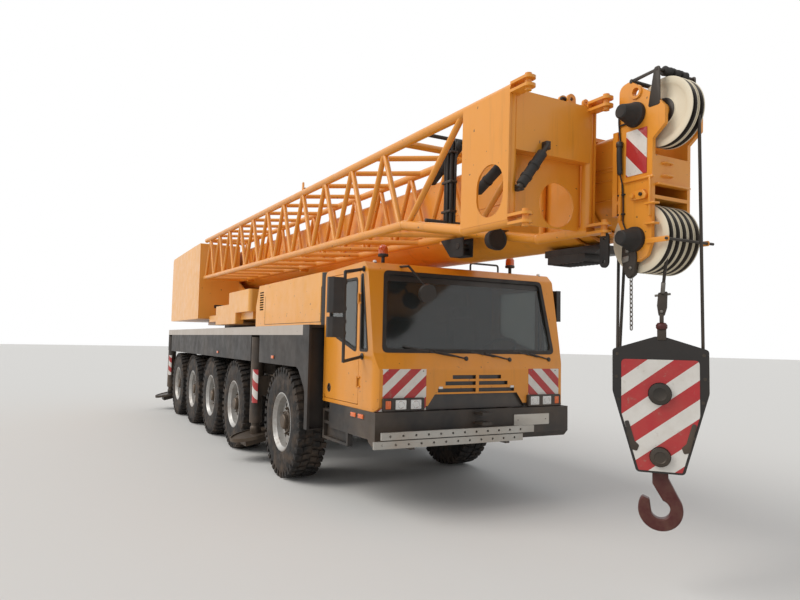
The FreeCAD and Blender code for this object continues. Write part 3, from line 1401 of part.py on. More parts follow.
def fall_point():
    """Where the lower sheaves' shaft lies at rest; the hook block hangs plumb below it."""
    return drooped_point(low_sheave_x(), 0, LOW_SHEAVE_Z)


def boom_head():
    """Innermost section with the two head plates, their cross box and the sheave shafts."""
    section = HEAD_SECTIONS
    front = HEAD_TUBE_X
    rear = SECTION_REAR_X + section * 100
    pieces = [boom_tube(section, (rear, front))]
    pieces += slide_pads(section, (rear + 10, rear + 310), True)
    top_x = top_sheave_x()
    low_x = low_sheave_x()
    plate_points = [
        (HEAD_PLATE_X, 2860), (HEAD_PLATE_X + 50, 2760), (low_x - 90, 2610), (low_x, 2545),
        (low_x + 95, 2590), (low_x + 130, 2680), (top_x - 30, 2950),
        (top_x - 30, 3400), (top_x + 70, 3480), (top_x + 70, 3600), (top_x - 20, 3700),
        (HEAD_PLATE_X + 100, 3860), (HEAD_PLATE_X, 3840),
    ]
    radii = [0, 40, 40, 50, 40, 60, 0, 0, 0, 60, 40, 60, 60]
    right, left = HEAD_Y
    hole_x = HEAD_PLATE_X + 157
    lug_hole = rod(28, (hole_x, right - 1, 3762), (hole_x, left + 1, 3762))
    for y in ((right, right + HEAD_PLATE_T), (left - HEAD_PLATE_T, left)):
        pieces.append(side_prism(plate_points, y, radii).cut(lug_hole))
    across = (right + 5, left - 5)
    tube_left = BOOM_HALF_W - section * (BOOM_WALL + SECTION_PLAY)
    pieces.append(box((front - 20, front + 25), (right + 5, tube_left - 10), (2900, 3520)))
    pieces.append(box((front, top_x - 30), across, (2985, 3010)))
    pieces.append(box((front, top_x - 30), across, (3260, 3290)))
    pieces.append(box((top_x - 60, top_x - 30), across, (3090, 3290)))
    pieces.append(rod(SHAFT_R, (top_x, across[0], TOP_SHEAVE_Z), (top_x, across[1], TOP_SHEAVE_Z)))
    pieces.append(rod(SHAFT_R, (low_x, across[0], LOW_SHEAVE_Z), (low_x, across[1], LOW_SHEAVE_Z)))
    # x, z of the black cones on the right plate
    for x, z in ((HEAD_PLATE_X + 150, TOP_SHEAVE_Z + 16), (HEAD_PLATE_X + 160, LOW_SHEAVE_Z - 10)):
        pieces.append(Part.makeCone(75, 40, 150, V(x, right + 5, z), V(0, -1, 0)))
    return join(pieces)


def sheave(x, y, z, radius):
    """Grooved rope sheave on a shaft along Y."""
    half = SHEAVE_T / 2
    # radius, place across
    rows = [
        (SHAFT_R + PIN_PLAY, -half), (radius, -half), (radius, -half + 8),
        (radius - SHEAVE_GROOVE, -14), (radius - SHEAVE_GROOVE, 14), (radius, half - 8),
        (radius, half), (SHAFT_R + PIN_PLAY, half),
    ]
    points = [(x + r, y + across, z) for r, across in rows]
    face = Part.Face(Part.makePolygon([V(*p) for p in points + points[:1]]))
    return face.revolve(V(x, y, z), V(0, 1, 0), 360)


def head_sheaves():
    """Two upper and five lower sheaves, each alone on its shaft."""
    solids = []
    for n in range(2):
        solids.append(sheave(top_sheave_x(), TOP_SHEAVE_Y + n * SHEAVE_PITCH, TOP_SHEAVE_Z, TOP_SHEAVE_R))
    for n in range(5):
        solids.append(sheave(low_sheave_x(), LOW_SHEAVE_Y + n * SHEAVE_PITCH, LOW_SHEAVE_Z, LOW_SHEAVE_R))
    return Part.makeCompound(solids)


def member(radius, start, end, seam):
    """Rod whose surface closes on the side named, away from the members that join it."""
    along = V(*end) - V(*start)
    bar = Part.makeCylinder(radius, along.Length)
    turn = FreeCAD.Rotation(V(*seam), V(0, 0, 0), along, "ZXY")
    bar.Placement = FreeCAD.Placement(V(*start), turn)
    return bar


def jib_chords():
    """The four chords; the lower ones dip to the box at the foot, with a ball at each kink."""
    right, left = JIB_Y
    rear = JIB_REAR_X - CHORD_END
    front = JIB_FRAME_X
    chords = []
    for y in (right, left):
        outboard = 1 if y == left else -1
        ends = (rear, y, JIB_TOP_Z), (front[1], y, JIB_TOP_Z)
        chords.append(member(CHORD_R, ends[0], ends[1], (0, outboard, 1)))
        kinks = [
            V(rear, y, JIB_LOW_Z), V(JIB_KINK_X, y, JIB_LOW_Z), V(front[0], y, JIB_FRAME_LOW_Z),
            V(front[1], y, JIB_FRAME_LOW_Z),
        ]
        for kink in kinks[1:3]:
            ball = Part.makeSphere(CHORD_R + 4)
            chords.append(turned(ball, (0, 0, 0), (0, 0, 1), 90 * outboard).translated(kink))
        for start, end in zip(kinks, kinks[1:]):
            chords.append(member(CHORD_R, start, end, (0, outboard, -1)))
    return chords


def jib_lacing():
    """Cross rods at the lattice's ends, the zigzag on its four sides and the braces."""
    right, left = JIB_Y
    rear = JIB_REAR_X
    flats = ((JIB_LOW_Z, (0, 0, -1)), (JIB_TOP_Z, (0, 0, 1)))
    rods = []
    for x in (rear + 20, JIB_KINK_X - 60):
        for z, seam in flats:
            rods.append(member(LACING_R + 6, (x, right, z), (x, left, z), seam))
    bays = 11
    pitch = (JIB_KINK_X - 60 - rear) / bays
    for n in range(bays):
        start = rear + n * pitch
        for y in (right, left):
            seam = (0, 1 if y == left else -1, 0)
            top = (start + pitch / 2, y, JIB_TOP_Z)
            rods.append(member(LACING_R, (start + LACING_SET, y, JIB_LOW_Z), top, seam))
            rods.append(member(LACING_R, top, (start + pitch - LACING_SET, y, JIB_LOW_Z), seam))
        for z, seam in flats:
            ends = (start + FLAT_SET, right, z), (start + pitch - FLAT_SET, left, z)
            rods.append(member(LACING_R, ends[0], ends[1], seam))
    for y in (right, left):
        seam = (0, 1 if y == left else -1, 0)
        brace_top = (JIB_FRAME_X[0] - 60, y, JIB_TOP_Z)
        rods.append(member(LACING_R, (JIB_KINK_X + 60, y, JIB_LOW_Z - 10), brace_top, seam))
    return rods


def jib_foot():
    """Posts, side plates, stepped front panels and the pinned fork lugs of the jib's foot."""
    right, left = JIB_Y
    rear, front = JIB_FRAME_X
    pieces = []
    for y in (right, left):
        seam = (0, 1 if y == left else -1, 0)
        for x, radius in ((front - POST_SET, POST_R), (rear + POST_SET, REAR_POST_R)):
            ends = (x, y, JIB_FRAME_LOW_Z), (x, y, JIB_TOP_Z)
            pieces.append(member(radius, ends[0], ends[1], seam))
    outer_y = (right - CHORD_R - 3, left + CHORD_R + 3)
    frame_z = (JIB_FRAME_LOW_Z, JIB_TOP_Z)
    oval_x = JIB_FRAME_X[1] - 215
    oval_low = JIB_FRAME_LOW_Z + 45
    oval = side_prism(
        [
            (oval_x - 160, oval_low), (oval_x + 160, oval_low), (oval_x + 160, oval_low + 380),
            (oval_x - 160, oval_low + 380),
        ],
        (outer_y[0] - 5, outer_y[0] + JIB_PLATE_T + 5),
        [155] * 4,
    )
    pieces.append(box(JIB_FRAME_X, (outer_y[0], outer_y[0] + JIB_PLATE_T), frame_z).cut(oval))
    pieces.append(box(JIB_FRAME_X, (outer_y[1] - JIB_PLATE_T, outer_y[1]), frame_z))
    inside = (right + 15, left - 15)
    shelf_z = JIB_TOP_Z - JIB_PANEL_H
    back_x = front - JIB_RECESS - JIB_PLATE_T
    pieces.append(box((front - JIB_PLATE_T, front), inside, (shelf_z, JIB_TOP_Z)))
    pieces.append(box((back_x, front - JIB_PLATE_T), inside, (shelf_z, shelf_z + JIB_PLATE_T)))
    lower = box((back_x, back_x + JIB_PLATE_T), inside, (JIB_FRAME_LOW_Z, shelf_z))
    hole = rod(165, (back_x - 1, -725, 2985), (back_x + JIB_PLATE_T + 1, -725, 2985))
    pieces.append(lower.cut(hole))
    tip = front + LUG_REACH
    for y in (right, left):
        for z in (JIB_TOP_Z, JIB_FRAME_LOW_Z):
            pieces.append(rod(24, (tip - 50, y, z - 60), (tip - 50, y, z + 60)))
            plan = [(front, y - 45), (tip, y - 45), (tip, y + 45), (front, y + 45)]
            for dz in (-38, 18):
                pieces.append(top_prism(plan, (z + dz, z + dz + 20), [0, 40, 40, 0]))
    return pieces


def jib():
    """Lattice jib: chords, lacing, the open box at its foot and the fork lugs."""
    return apart(jib_chords() + jib_lacing() + jib_foot())


def block_frame(shape):
    """Piece drawn with its width along X and its axis along Y, put in the hook block's place."""
    placed = turned(shape, (0, 0, 0), (0, 0, 1), BLOCK_TURN)
    placed.translate(V(fall_point()[0], BLOCK_Y, 0))
    return placed


def hook_block():
    """Hook block: two striped cheeks, its sheaves between them, hubs and the cross-head."""
    half_t = BLOCK_T / 2
    cheek_points = [
        (-BLOCK_HALF_LOW, BLOCK_TIP_Z), (BLOCK_HALF_LOW, BLOCK_TIP_Z),
        (BLOCK_HALF_TOP, BLOCK_KNEE_Z), (BLOCK_HALF_TOP, BLOCK_SHOULDER_Z), (30, BLOCK_TOP_Z),
        (-30, BLOCK_TOP_Z), (-BLOCK_HALF_TOP, BLOCK_SHOULDER_Z), (-BLOCK_HALF_TOP, BLOCK_KNEE_Z),
    ]
    radii = [30, 30, 90, 25, 0, 0, 25, 90]
    reach = half_t + 35
    pieces = [
        rod(62, (0, -reach, BLOCK_SHEAVE_Z), (0, reach, BLOCK_SHEAVE_Z)),
    ]
    bore = rod(HOOK_SHANK_R + PIN_PLAY, (0, 0, BLOCK_TIP_Z - 5), (0, 0, CROSSHEAD_Z - 10))
    crosshead = rod(CROSSHEAD_R, (0, -reach, CROSSHEAD_Z), (0, reach, CROSSHEAD_Z))
    head = box((-110, 110), (-half_t + CHEEK_T, half_t - CHEEK_T), (BLOCK_TIP_Z, CROSSHEAD_Z))
    pieces.append(join([crosshead, head]).cut(bore))
    for side in (-1, 1):
        y = (side * half_t, side * (half_t - CHEEK_T))
        pieces.append(side_prism(cheek_points, y, radii))
    for n in (-1, 0, 1):
        disc = rod(
            BLOCK_SHEAVE_R, (0, n * 48 - 18, BLOCK_SHEAVE_Z), (0, n * 48 + 18, BLOCK_SHEAVE_Z)
        )
        pieces.append(disc)
    return block_frame(apart(pieces))


def hook_outline(centre_z):
    """Closed wire of the forged hook seen square on, from the neck round the bowl to its tip."""
    def at(radius, degrees):
        angle = math.radians(degrees)
        y = -HOOK_T / 2
        return V(radius * math.cos(angle), y, centre_z + radius * math.sin(angle))

    def spot(x, z):
        return V(x, -HOOK_T / 2, centre_z + z)

    half = HOOK_NECK / 2
    neck_z = BLOCK_TIP_Z - HOOK_GAP - centre_z
    outer = HOOK_BOWL_R
    inner = HOOK_THROAT_R
    corners = [
        spot(half, neck_z), spot(-half, neck_z), spot(-half, neck_z - 80), at(inner, 75),
    ]
    edges = [Part.LineSegment(a, b).toShape() for a, b in zip(corners, corners[1:])]
    edges.append(Part.Arc(at(inner, 75), at(inner, -60), at(inner, -165)).toShape())
    tip = [at(inner, -165), spot(-inner - 8, 66), spot(-outer + 30, 84), at(outer, 152)]
    edges += [Part.LineSegment(a, b).toShape() for a, b in zip(tip, tip[1:])]
    edges.append(Part.Arc(at(outer, 152), at(outer, -90), at(outer, 20)).toShape())
    edges.append(Part.LineSegment(at(outer, 20), spot(half, neck_z - 40)).toShape())
    edges.append(Part.LineSegment(spot(half, neck_z - 40), spot(half, neck_z)).toShape())
    return Part.Wire(edges)


def hook():
    """Forged single hook with its round shank, the edges of the forging rounded."""
    centre_z = HOOK_LOW_Z + HOOK_BOWL_R
    forging = Part.Face(hook_outline(centre_z)).extrude(V(0, HOOK_T, 0))
    forging = forging.makeFillet(HOOK_ROUND, forging.Edges)
    shank = rod(HOOK_SHANK_R, (0, 0, BLOCK_TIP_Z + 80), (0, 0, BLOCK_TIP_Z - HOOK_GAP - 25))
    return block_frame(join([forging, shank]))


def hoist_ropes():
    """Taut falls from the head's sheaves down to both sides of the hook block's sheaves."""
    solids = []
    top = drooped_point(top_sheave_x(), 0, TOP_SHEAVE_Z)
    # shaft, sheave radius, first sheave's y, number, side, start below the shaft, across, gap
    rows = [
        (fall_point(), LOW_SHEAVE_R, LOW_SHEAVE_Y, 0, -1, FALL_START, -48, 3.2),
        (fall_point(), LOW_SHEAVE_R, LOW_SHEAVE_Y, 1, -1, FALL_START, 0, 1.0),
        (top, TOP_SHEAVE_R, TOP_SHEAVE_Y, 1, 1, TOP_FALL_START, 0, 1.0),
    ]
    for shaft, radius, first_y, number, side, drop, along, gap in rows:
        reach = radius - SHEAVE_GROOVE + FALL_R + 0.3
        start = V(shaft[0] + side * reach, first_y + number * SHEAVE_PITCH, shaft[2] - drop)
        across = BLOCK_SHEAVE_R + FALL_R + gap
        end = block_frame(Part.Vertex(V(side * across, along, BLOCK_SHEAVE_Z))).Point
        solids.append(rod(FALL_R, start, end))
    return Part.makeCompound(solids)


def lift_geometry():
    """Lift cylinder's rest angle and length, and what it turns and slides over the full luff."""
    swing = math.radians(BOOM_MAX_ANGLE)
    ex = ROD_EYE_X - PIVOT_X
    ez = ROD_EYE_Z - PIVOT_Z
    rx = PIVOT_X + ex * math.cos(swing) - ez * math.sin(swing)
    rz = PIVOT_Z + ex * math.sin(swing) + ez * math.cos(swing)
    rest_angle = math.atan2(ROD_EYE_Z - BARREL_Z, ROD_EYE_X - BARREL_X)
    rest_length = math.hypot(ROD_EYE_X - BARREL_X, ROD_EYE_Z - BARREL_Z)
    high_angle = math.atan2(rz - BARREL_Z, rx - BARREL_X)
    high_length = math.hypot(rx - BARREL_X, rz - BARREL_Z)
    return rest_angle, rest_length, high_angle - rest_angle, high_length - rest_length


def lift_place(shape):
    """Piece drawn along X from the barrel's pin, put at the cylinder's resting slope."""
    angle = lift_geometry()[0]
    placed = turned(shape, (0, 0, 0), (0, 1, 0), -math.degrees(angle))
    placed.translate(V(BARREL_X, 0, BARREL_Z))
    return placed


def lift_barrel():
    length = lift_geometry()[1] - 330
    tube = ring(BARREL_R, ROD_R + PIN_PLAY, (BARREL_START + 90, 0, 0), (length, 0, 0))
    end = rod(BARREL_R, (BARREL_START, 0, 0), (BARREL_START + 100, 0, 0))
    neck = rod(EYE_HALF_W - 15, (0, 0, 0), (BARREL_START + 10, 0, 0))
    eye = rod(EYE_R, (0, -EYE_HALF_W, 0), (0, EYE_HALF_W, 0))
    body = join([tube, end, neck, eye])
    return lift_place(body.cut(rod(45 + PIN_PLAY, (0, -EYE_HALF_W - 1, 0), (0, EYE_HALF_W + 1, 0))))


def lift_rod():
    length = lift_geometry()[1]
    stem = rod(ROD_R, (length - 2900, 0, 0), (length - 60, 0, 0))
    eye = rod(EYE_R, (length, -EYE_HALF_W, 0), (length, EYE_HALF_W, 0))
    bore = rod(45, (length, -EYE_HALF_W - 1, 0), (length, EYE_HALF_W + 1, 0))
    return lift_place(join([stem, eye]).cut(bore))


def main():
    os.makedirs("parts", exist_ok=True)
    save("chassis_frame", chassis_frame())
    save("axle_beams", Part.makeCompound([s for n in range(5) for s in axle_beam(n).Solids]))
    save("side_bodies", side_bodies())
    save("front_bumper", front_bumper())
    save("ladder", ladder())
    save("cab_shell", cab_shell())
    save("cab_glass", cab_glass())
    save("cab_interior", cab_interior())
    save("seats", seats())
    save("mirrors", mirrors())
    save("lamps", lamps())
    save("engine_hood", engine_hood())
    save("engine_block", engine_block())
    for name, side in (("right", -1), ("left", 1)):
        save("door_%s" % name, cab_door(side))
        save("door_glass_%s" % name, door_glass(side))
        for place, x in (("front", OUTRIGGER_FRONT_X), ("rear", OUTRIGGER_REAR_X)):
            save("outrigger_beam_%s_%s" % (place, name), outrigger_beam(x, side))
            save("outrigger_jack_%s_%s" % (place, name), outrigger_jack(x, side))
        for axle in range(len(AXLE_X)):
            save("wheel_%d_%s" % (axle + 1, name), wheel(axle, side))
            if axle != RIGID_AXLE:
                save("knuckle_%d_%s" % (axle + 1, name), knuckle(axle, side))
    save("turntable", turntable())
    save("counterweight", counterweight())
    save("winches", winches())
    save("crane_cab", crane_cab())
    save("crane_cab_glass", crane_cab_glass())
    save("crane_cab_door", crane_cab_door())
    save("boom_base", drooped(boom_base()))
    for section in range(1, HEAD_SECTIONS):
        save("boom_section_%d" % section, drooped(boom_section(section)))
    save("boom_head", drooped(boom_head()))
    save("head_sheaves", drooped(head_sheaves()))
    save("jib", drooped(jib()))
    save("lift_barrel", lift_barrel())
    save("lift_rod", lift_rod())
    save("hook_block", hook_block())
    save("hook", hook())
    save("hoist_ropes", hoist_ropes())


if __name__ == "__main__":
    main()
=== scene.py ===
import bpy
import bmesh
import math
from mathutils import Matrix, Vector


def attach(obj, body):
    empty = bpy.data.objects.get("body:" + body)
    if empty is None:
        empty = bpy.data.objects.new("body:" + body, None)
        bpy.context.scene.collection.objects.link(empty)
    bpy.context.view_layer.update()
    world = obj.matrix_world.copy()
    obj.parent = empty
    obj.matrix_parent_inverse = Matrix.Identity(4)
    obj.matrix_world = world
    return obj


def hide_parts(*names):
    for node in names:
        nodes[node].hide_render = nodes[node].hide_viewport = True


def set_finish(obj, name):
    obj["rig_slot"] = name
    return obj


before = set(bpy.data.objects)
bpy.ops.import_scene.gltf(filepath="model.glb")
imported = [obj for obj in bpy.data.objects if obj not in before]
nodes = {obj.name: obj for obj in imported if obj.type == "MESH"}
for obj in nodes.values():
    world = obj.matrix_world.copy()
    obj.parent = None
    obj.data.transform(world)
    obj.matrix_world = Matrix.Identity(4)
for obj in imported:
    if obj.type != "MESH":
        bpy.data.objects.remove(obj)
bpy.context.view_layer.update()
scene = bpy.context.scene
rad = math.radians

# Sizes repeated from the CAD source, in metres
AXLES = (1.95, -0.45, -2.1, -3.75, -5.4)
TYRE_R = 0.685
WHEEL_Y = 1.1875
TOP_X = 6.8715
LOW_X = 6.7115
SCREEN_LOW_Z = 1.6
SCREEN_LEAN = (-0.15, 0.84)
NOSE_X = 4.245
CAB_FACE_Y = 1.176
HOOD_FACE_Y = 1.2
SKIRT_FACE_Y = 1.375
BUMPER_FACE_X = 4.29
JACK_Y = 1.3
JACK_X = (("front", 0.7175), ("rear", -6.5845))
WEIGHT_X = (-7.05, -3.79)
HEAD_FACE_Y = -0.398
PIVOT = Vector((-5.25, 0, 3.05))
DROOP = Matrix.Translation(PIVOT) @ Matrix.Rotation(rad(1.2), 4, "Y") @ Matrix.Translation(-PIVOT)


def srgb(r, g, b):
    """Linear colour of a colour written as 0 to 255."""
    out = []
    for c in (r, g, b):
        c /= 255
        out.append(c / 12.92 if c <= 0.04045 else ((c + 0.055) / 1.055) ** 2.4)
    return (*out, 1)


# Camera, light and floor

def make_camera():
    """The photo's camera: its turn, tilt and roll, its eye and its focal length in picture widths."""
    az, pitch, roll = 2.64668968, 0.0641607255, 0.0198969506
    eye = Vector((9.88872851, -3.98785442, 1.71343123))
    forward = Vector((math.cos(az) * math.cos(pitch), math.sin(az) * math.cos(pitch), math.sin(pitch)))
    right = Vector((math.sin(az), -math.cos(az), 0))
    up = right.cross(forward)
    across = right * math.cos(roll) + up * math.sin(roll)
    above = -right * math.sin(roll) + up * math.cos(roll)
    cam = bpy.data.cameras.new("camera")
    cam.sensor_fit = "HORIZONTAL"
    cam.sensor_width = 36
    cam.lens = 0.8125956575 * cam.sensor_width
    cam.clip_end = 400
    o = bpy.data.objects.new("camera", cam)
    m = Matrix((across, above, -forward)).transposed().to_4x4()
    m.translation = eye
    o.matrix_world = m
    scene.collection.objects.link(o)
    scene.camera = o


def make_light():
    """A soft key light, and a pale world that the camera and reflections see as white."""
    sun = bpy.data.lights.new("key", "SUN")
    sun.energy = 1.75
    sun.angle = rad(38)
    sun.color = (1.0, 0.975, 0.94)
    o = bpy.data.objects.new("key", sun)
    o.rotation_euler = Vector((0.3, 0.85, -0.85)).to_track_quat("-Z", "Y").to_euler()
    scene.collection.objects.link(o)
    world = bpy.data.worlds.new("studio")
    scene.world = world
    world.use_nodes = True
    t = world.node_tree
    t.nodes.clear()
    path = t.nodes.new("ShaderNodeLightPath")
    seen = path.outputs["Is Camera Ray"]
    for kind in ("Is Glossy Ray", "Is Transmission Ray"):
        either = t.nodes.new("ShaderNodeMath")
        either.operation = "MAXIMUM"
        t.links.new(seen, either.inputs[0])
        t.links.new(path.outputs[kind], either.inputs[1])
        seen = either.outputs[0]
    mix = t.nodes.new("ShaderNodeMixShader")
    t.links.new(seen, mix.inputs[0])
    for k, colour, strength in ((1, (0.93, 0.96, 1.0, 1), 0.62), (2, (1, 1, 1, 1), 1.0)):
        sky = t.nodes.new("ShaderNodeBackground")
        sky.inputs["Color"].default_value = colour
        sky.inputs["Strength"].default_value = strength
        t.links.new(sky.outputs[0], mix.inputs[k])
    out = t.nodes.new("ShaderNodeOutputWorld")
    t.links.new(mix.outputs[0], out.inputs[0])


def make_floor():
    bm = bmesh.new()
    bmesh.ops.create_circle(bm, cap_ends=True, segments=128, radius=120)
    me = bpy.data.meshes.new("floor")
    bm.to_mesh(me)
    bm.free()
    o = bpy.data.objects.new("floor", me)
    scene.collection.objects.link(o)
    m = bpy.data.materials.new("floor")
    m.use_nodes = True
    b = m.node_tree.nodes["Principled BSDF"]
    b.inputs["Base Color"].default_value = srgb(214, 212, 208)
    b.inputs["Roughness"].default_value = 0.9
    me.materials.append(m)


scene.view_settings.view_transform = "Standard"
make_camera()
make_light()
make_floor()


# Materials

class Mat:
    """A node material with small helpers for masks and colour mixes in the object's own space."""

    def __init__(self, name, **sockets):
        self.m = bpy.data.materials.new(name)
        self.m.use_nodes = True
        self.t = self.m.node_tree
        self.b = self.t.nodes["Principled BSDF"]
        for key, value in sockets.items():
            self.b.inputs[key.replace("_", " ")].default_value = value
        self.co = self.t.nodes.new("ShaderNodeTexCoord").outputs["Object"]
        self.xyz = None

    def node(self, kind, **props):
        n = self.t.nodes.new(kind)
        for key, value in props.items():
            setattr(n, key, value)
        return n

    def link(self, a, b):
        self.t.links.new(a, b)

    def set(self, socket, value):
        if hasattr(value, "is_output") or hasattr(value, "links"):
            self.link(value, socket)
        else:
            socket.default_value = value

    def noise(self, scale, detail=4, rough=0.55, stretch=None):
        n = self.node("ShaderNodeTexNoise")
        for key, value in (("Scale", scale), ("Detail", detail), ("Roughness", rough)):
            n.inputs[key].default_value = value
        where = self.co
        if stretch:
            mapping = self.node("ShaderNodeMapping")
            mapping.inputs["Scale"].default_value = stretch
            self.link(where, mapping.inputs[0])
            where = mapping.outputs[0]
        self.link(where, n.inputs["Vector"])
        return n.outputs["Fac"]

    def voronoi(self, scale):
        n = self.node("ShaderNodeTexVoronoi")
        n.inputs["Scale"].default_value = scale
        self.link(self.co, n.inputs["Vector"])
        return n.outputs["Distance"]

    def ramp(self, value, lo, hi, out_lo=0.0, out_hi=1.0):
        n = self.node("ShaderNodeMapRange")
        ends = (("From Min", lo), ("From Max", hi), ("To Min", out_lo), ("To Max", out_hi))
        for key, limit in ends:
            n.inputs[key].default_value = limit
        self.link(value, n.inputs["Value"])
        return n.outputs[0]

    def math(self, op, a, b=0.0, clamp=False):
        n = self.node("ShaderNodeMath", operation=op, use_clamp=clamp)
        self.set(n.inputs[0], a)
        self.set(n.inputs[1], b)
        return n.outputs[0]

    def all_of(self, *tests):
        """Mask of where every test holds; a test is a value, < or >, and a limit."""
        out = None
        for value, sign, limit in tests:
            mask = self.math("LESS_THAN" if sign == "<" else "GREATER_THAN", value, limit)
            out = mask if out is None else self.math("MULTIPLY", out, mask)
        return out

    def axis(self, k):
        if self.xyz is None:
            n = self.node("ShaderNodeSeparateXYZ")
            self.link(self.co, n.inputs[0])
            self.xyz = n
        return self.xyz.outputs[k]

    def mix(self, factor, a, b):
        n = self.node("ShaderNodeMix", data_type="RGBA")
        self.set(n.inputs["Factor"], factor)
        self.set(n.inputs[6], a)
        self.set(n.inputs[7], b)
        return n.outputs[2]

    def bump(self, height, strength=0.3, distance=0.002):
        n = self.node("ShaderNodeBump")
        n.inputs["Strength"].default_value = strength
        n.inputs["Distance"].default_value = distance
        self.link(height, n.inputs["Height"])
        self.link(n.outputs[0], self.b.inputs["Normal"])

    def base(self, value):
        self.set(self.b.inputs["Base Color"], value)

    def rough(self, value):
        self.set(self.b.inputs["Roughness"], value)


def shade(colour, k):
    """A colour made darker or brighter by a factor."""
    return (colour[0] * k, colour[1] * k, colour[2] * k, 1)


DUST = srgb(150, 124, 98)
GRIME = srgb(96, 66, 36)
CHIP = srgb(74, 52, 38)


def dusty(mat, colour, dust=0.25, top=2.2, patch=1.6):
    """Road dust on a colour: soft patches, thicker towards the ground."""
    cloud = mat.noise(patch, 5, 0.6)
    low = mat.ramp(mat.axis(2), 0.2, top, 1.0, 0.25)
    amount = mat.math("MULTIPLY", mat.ramp(cloud, 0.35, 0.75, 0.0, dust * 2), low, True)
    return mat.mix(amount, colour, DUST)


def worn(m, colour, streak=0.2):
    """Grime that runs down a paint, and small chips in it."""
    runs = m.ramp(m.noise(2.4, 5, 0.7, stretch=(3.0, 3.0, 0.22)), 0.56, 0.8, 0.0, streak)
    chips = m.math("MULTIPLY", m.math("GREATER_THAN", m.noise(23, 2, 0.5), 0.735), 0.75)
    return m.mix(chips, m.mix(runs, colour, GRIME), CHIP)


def paint(name, colour, dust=0.16, streak=0.22, top=2.4):
    """Gloss paint on steel: faded patches, grime running down, small chips and orange peel."""
    m = Mat(name, Coat_Weight=0.25, Coat_Roughness=0.12)
    pale = (min(colour[0] * 1.06, 1), colour[1] * 1.10, colour[2] * 1.35 + 0.006, 1)
    faded = m.mix(m.noise(0.9, 3), shade(colour, 0.93), pale)
    m.base(dusty(m, worn(m, faded, streak), dust, top))
    m.rough(m.ramp(m.noise(5.5, 4), 0.3, 0.75, 0.30, 0.52))
    m.bump(m.noise(120, 2), 0.08, 0.0008)
    return m.m


def plain(name, colour, rough=0.6, metal=0.0, dust=0.2, top=2.2, grain=90, bump=0.2, spread=0.12,
          patch=1.6, **sockets):
    """A solid-coloured material with uneven tone, dust and a fine grain."""
    m = Mat(name, Metallic=metal, **sockets)
    tone = m.mix(m.noise(3.3, 5, 0.6), shade(colour, 1 - spread), shade(colour, 1 + spread))
    m.base(dusty(m, tone, dust, top, patch))
    m.rough(m.ramp(m.noise(8, 4), 0.3, 0.75, rough - 0.1, min(rough + 0.12, 1.0)))
    m.bump(m.noise(grain, 3), bump, 0.0015)
    return m.m


YELLOW = srgb(229, 146, 27)
yellow = paint("paint_yellow", YELLOW)
pale_yellow = paint("paint_yellow_pale", srgb(235, 164, 62), dust=0.1, streak=0.12)
under_paint = paint("paint_boom", srgb(230, 148, 36), dust=0.05, streak=0.3, top=2.6)
black_frame = plain("black_chassis", srgb(46, 42, 39), 0.62, dust=0.4, top=1.7)
plastic = plain("black_plastic", srgb(34, 32, 31), 0.5, dust=0.16, grain=260, bump=0.25)
rubber = plain("black_rubber", srgb(26, 25, 24), 0.7, dust=0.12, grain=200)
cab_inside = plain("cab_lining", srgb(72, 70, 68), 0.8, dust=0.1, grain=300, bump=0.3)
alu = plain("aluminium", srgb(176, 174, 168), 0.42, 0.75, dust=0.35, top=1.5, grain=70)
steel = plain("bare_steel", srgb(120, 116, 110), 0.42, 0.8, dust=0.15, grain=60)
dark_steel = plain("dark_steel", srgb(60, 56, 52), 0.5, 0.6, dust=0.2, grain=60)
chrome = plain("chrome_rod", srgb(200, 200, 200), 0.16, 1.0, dust=0.03, grain=30, bump=0.03, spread=0.03)
cream = plain("sheave_cream", srgb(226, 214, 188), 0.5, dust=0.1, top=5.0, grain=150, spread=0.05)
groove_dark = plain("sheave_groove", srgb(48, 44, 40), 0.45, 0.3, dust=0.1, top=5.0)
hook_red = plain("hook_red", srgb(74, 17, 15), 0.45, 0.1, dust=0.1, top=2.0, grain=50, bump=0.5, patch=14)
plate_white = plain("plate_white", srgb(206, 202, 192), 0.4, dust=0.2, spread=0.04)
block_black = plain("block_black", srgb(20, 17, 16), 0.5, dust=0.05, grain=120)
white_lens = plain("lens_white", srgb(228, 228, 224), 0.2, dust=0.1, Coat_Weight=0.6)
mirror_face = plain("mirror_face", srgb(190, 196, 200), 0.1, 1.0, dust=0.06, bump=0.02, spread=0.03)
red_lens = plain("lens_red", srgb(170, 22, 16), 0.22, dust=0.12, Coat_Weight=0.6, grain=400)
orange_lens = plain("lens_orange", srgb(235, 104, 14), 0.25, dust=0.08, Coat_Weight=0.6, grain=400)
amber = plain("beacon_amber", srgb(212, 88, 14), 0.2, dust=0.06, Coat_Weight=0.7, grain=400)


def make_glass(name, tint):
    """Tinted glass under a thin, uneven film of dust."""
    m = Mat(name, IOR=1.5, Transmission_Weight=0.9, Metallic=0.0)
    film = m.noise(2.2, 5, 0.6)
    m.base(m.mix(m.ramp(film, 0.4, 0.8, 0.0, 0.35), tint, srgb(150, 146, 138)))
    m.rough(m.ramp(m.noise(6, 4), 0.35, 0.8, 0.04, 0.16))
    m.bump(m.noise(1.2, 2), 0.05, 0.002)
    return m.m


screen_glass = make_glass("window_glass", srgb(120, 126, 126))
side_glass = make_glass("side_glass", srgb(136, 142, 138))


